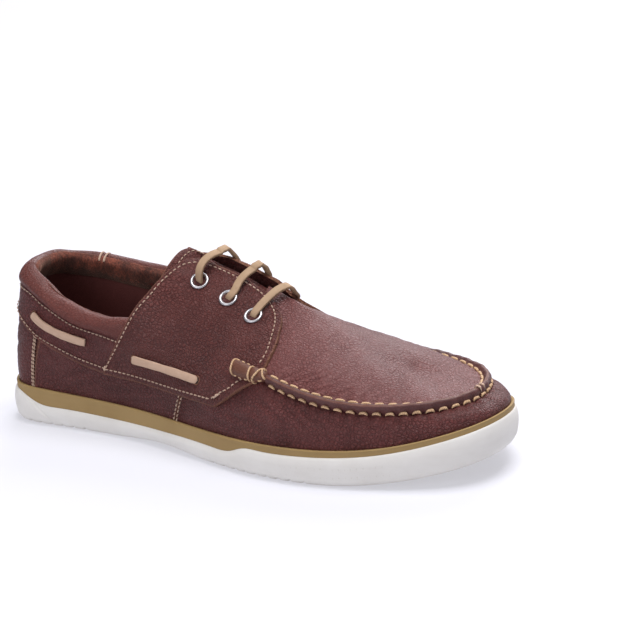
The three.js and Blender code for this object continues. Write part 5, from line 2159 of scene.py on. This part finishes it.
@dataclass
class Sewing:
    """Fine stitch rows of the panels, the double rows of the vertical seams and the bartacks."""

    form: Form
    lines: Lines
    looks: Wardrobe

    def flank(self, side: Side) -> None:
        """Every fine row on one flank.

        Args:
            side: which flank.
        """
        f, ln = self.form, self.lines
        c = Patches()
        FINE_MAIN.row(c, f, side, ln.main, 1.28)
        FINE.row(c, f, side, ln.collar[side], 1.3)
        SADDLE.row(c, f, side, ln.saddle_back, lambda psi, th: 2.18 + Instep.stand(psi, th))
        SADDLE.row(c, f, side, ln.low, 2.2)
        SADDLE.row(c, f, side, ln.diagonal, 2.25)
        for shift in (-0.5, 0.5):
            TWIN.row(c, f, side, [(a - 0.012, t) for a, t in ln.heel_seam], 0.15, shift=shift)
            FINE.row(c, f, side, [(a + 0.004, t) for a, t in ln.mid_seam], 0.95, shift=shift * 2.1)
        finish_piece(c.object(f"stitch_rows_{word(side)}", weld=0.002), self.looks.fine, "thread")

    def knots(self, side: Side) -> None:
        """Bartacks where rows end, and a long last stitch beside the saddle.

        Args:
            side: which flank.
        """
        f = self.form
        c = Patches()
        rows = [((1.047, 0.142), (1.051, 0.162), 2.4, 0.62), ((1.128, 0.352), (1.141, 0.346), 1.3, 0.5),
                ((1.60, 0.205), (1.625, 0.247), 2.3, 0.52)]
        for a, b, off, radius in rows:
            psi, th = f.turn(side, np.array([a[0], b[0]])), np.array([a[1], b[1]])
            p = f.skin(psi, th, off)
            Stitch(radius=radius, lift=0.15, sink=0.4).sew(c, p.mean(0)[None], unit(p[1] - p[0])[None],
                    f.facing(psi[:1], th[:1]), float(np.linalg.norm(p[1] - p[0])) + 0.8)
        finish_piece(c.object(f"bartacks_{word(side)}", weld=0.002), self.looks.fine, "thread")

    def build(self, tongue: tuple[Array, Array, Array]) -> None:
        """Sew both flanks and the tongue's edge row.

        Args:
            tongue: the tongue's normals, outer face and distances from its edge.
        """
        for side in Side:
            self.flank(side)
            self.knots(side)
        n, outer, d = tongue
        k = int(np.argmin(np.abs(d - 3.2)))
        line, normal = outer[k], n[k]
        s = lengths(line)
        count = round(s[-1] / 2.6)
        mid = (np.arange(count) + 0.5) * s[-1] / count
        c = Patches()
        facing = read(normal, s, mid)
        SADDLE.sew(c, read(line, s, mid) + facing * 0.22, unit(read(np.gradient(line, axis=0), s, mid)),
                   unit(facing), 1.85)
        finish_piece(c.object("tongue_stitches", weld=0.002), self.looks.fine, "thread")


# ---------------------------------------------------------------- studio


@dataclass
class Studio:
    """Camera, floor and lights."""

    target: tuple[float, float, float] = (0.03130, 0.01905, 0.06180)
    azimuth: float = 32.82
    elevation: float = 17.57
    roll: float = -3.77
    distance: float = 1.35
    lens: float = 146.25

    def camera(self) -> None:
        """Place the camera on the ray back from its target."""
        a, e, r = (math.radians(v) for v in (self.azimuth, self.elevation, self.roll))
        back = Vector((math.sin(a) * math.cos(e), -math.cos(a) * math.cos(e), math.sin(e)))
        right = Vector((math.cos(a), math.sin(a), 0))
        up = back.cross(right)
        x, y = right * math.cos(r) + up * math.sin(r), up * math.cos(r) - right * math.sin(r)
        data = bpy.data.cameras.new("camera")
        data.lens, data.sensor_width = self.lens, 36.0
        data.clip_start, data.clip_end = 0.05, 30.0
        cam = bpy.data.objects.new("camera", data)
        turn = Matrix((x, y, back)).transposed().to_4x4()
        cam.matrix_world = Matrix.Translation(Vector(self.target) + back * self.distance) @ turn
        bpy.context.scene.collection.objects.link(cam)
        bpy.context.scene.camera = cam

    def floor(self) -> None:
        """Wide pale floor level with the underside of the sole."""
        g = Graph("studio_floor")
        haze = g.noise(g.coords(), 3.0, 2.0)
        look = g.dress(Base_Color=g.blend(haze, (0.38, 0.385, 0.42), (0.365, 0.37, 0.41)), Roughness=0.8,
                       Specular_IOR_Level=0.1,
                       Emission_Color=(0.965, 0.955, 1.0), Emission_Strength=0.43)
        mesh = bpy.data.meshes.new("floor")
        r = 6.0
        mesh.from_pydata([(-r, -r, 0), (r, -r, 0), (r, r, 0), (-r, r, 0)], [], [(0, 1, 2, 3)])
        mesh.materials.append(look)
        obj = bpy.data.objects.new("floor", mesh)
        bpy.context.scene.collection.objects.link(obj)

    def lamp(self, name: str, place: tuple[float, float, float], size: float, power: float,
             colour: Colour = (1, 1, 1)) -> None:
        """A square area light that looks at the shoe.

        Args:
            name: name of the light.
            place: where it stands, in metres.
            size: side of its square in metres.
            power: watts.
            colour: its colour.
        """
        data = bpy.data.lights.new(name, "AREA")
        data.size, data.energy, data.color = size, power, colour
        lamp = bpy.data.objects.new(name, data)
        lamp.location = place
        lamp.rotation_euler = (Vector((0, 0, 0.05)) - Vector(place)).to_track_quat("-Z", "Y").to_euler()
        bpy.context.scene.collection.objects.link(lamp)

    def build(self) -> None:
        """Set up the studio."""
        self.camera()
        self.floor()
        self.lamp("key", (0.25, 0.1, 1.6), 1.0, 30.0, (1.0, 0.985, 0.98))
        self.lamp("fill", (-0.3, -1.8, 0.9), 1.2, 12.0, (0.97, 0.97, 1.0))
        self.lamp("back", (-0.5, 1.8, 1.2), 1.5, 34.0, (1.0, 0.98, 1.0))
        bpy.context.scene.view_settings.view_transform = "Standard"
        world = bpy.data.worlds.new("studio")
        bpy.context.scene.world = world
        world.use_nodes = True
        back = world.node_tree.nodes["Background"]
        back.inputs[0].default_value, back.inputs[1].default_value = (0.93, 0.94, 1.0, 1.0), 0.36


def main() -> None:
    """Build the shoe piece by piece, then the studio."""
    logging.basicConfig(level=logging.INFO, format="%(name)s: %(message)s")
    form = Form()
    lines = Lines(form)
    looks = Wardrobe()
    upper = Upper(form, lines, looks)
    upper.build()
    instep = Instep(form, lines, looks)
    instep.build()
    Collar(form, lines, looks).build()
    ApronSeam(form, upper, looks).build()
    Lacing(form, looks).build()
    Sole(form, looks).build()
    Sewing(form, lines, looks).build(instep.tongue_base)
    Studio().build()


if __name__ == "__main__":
    main()
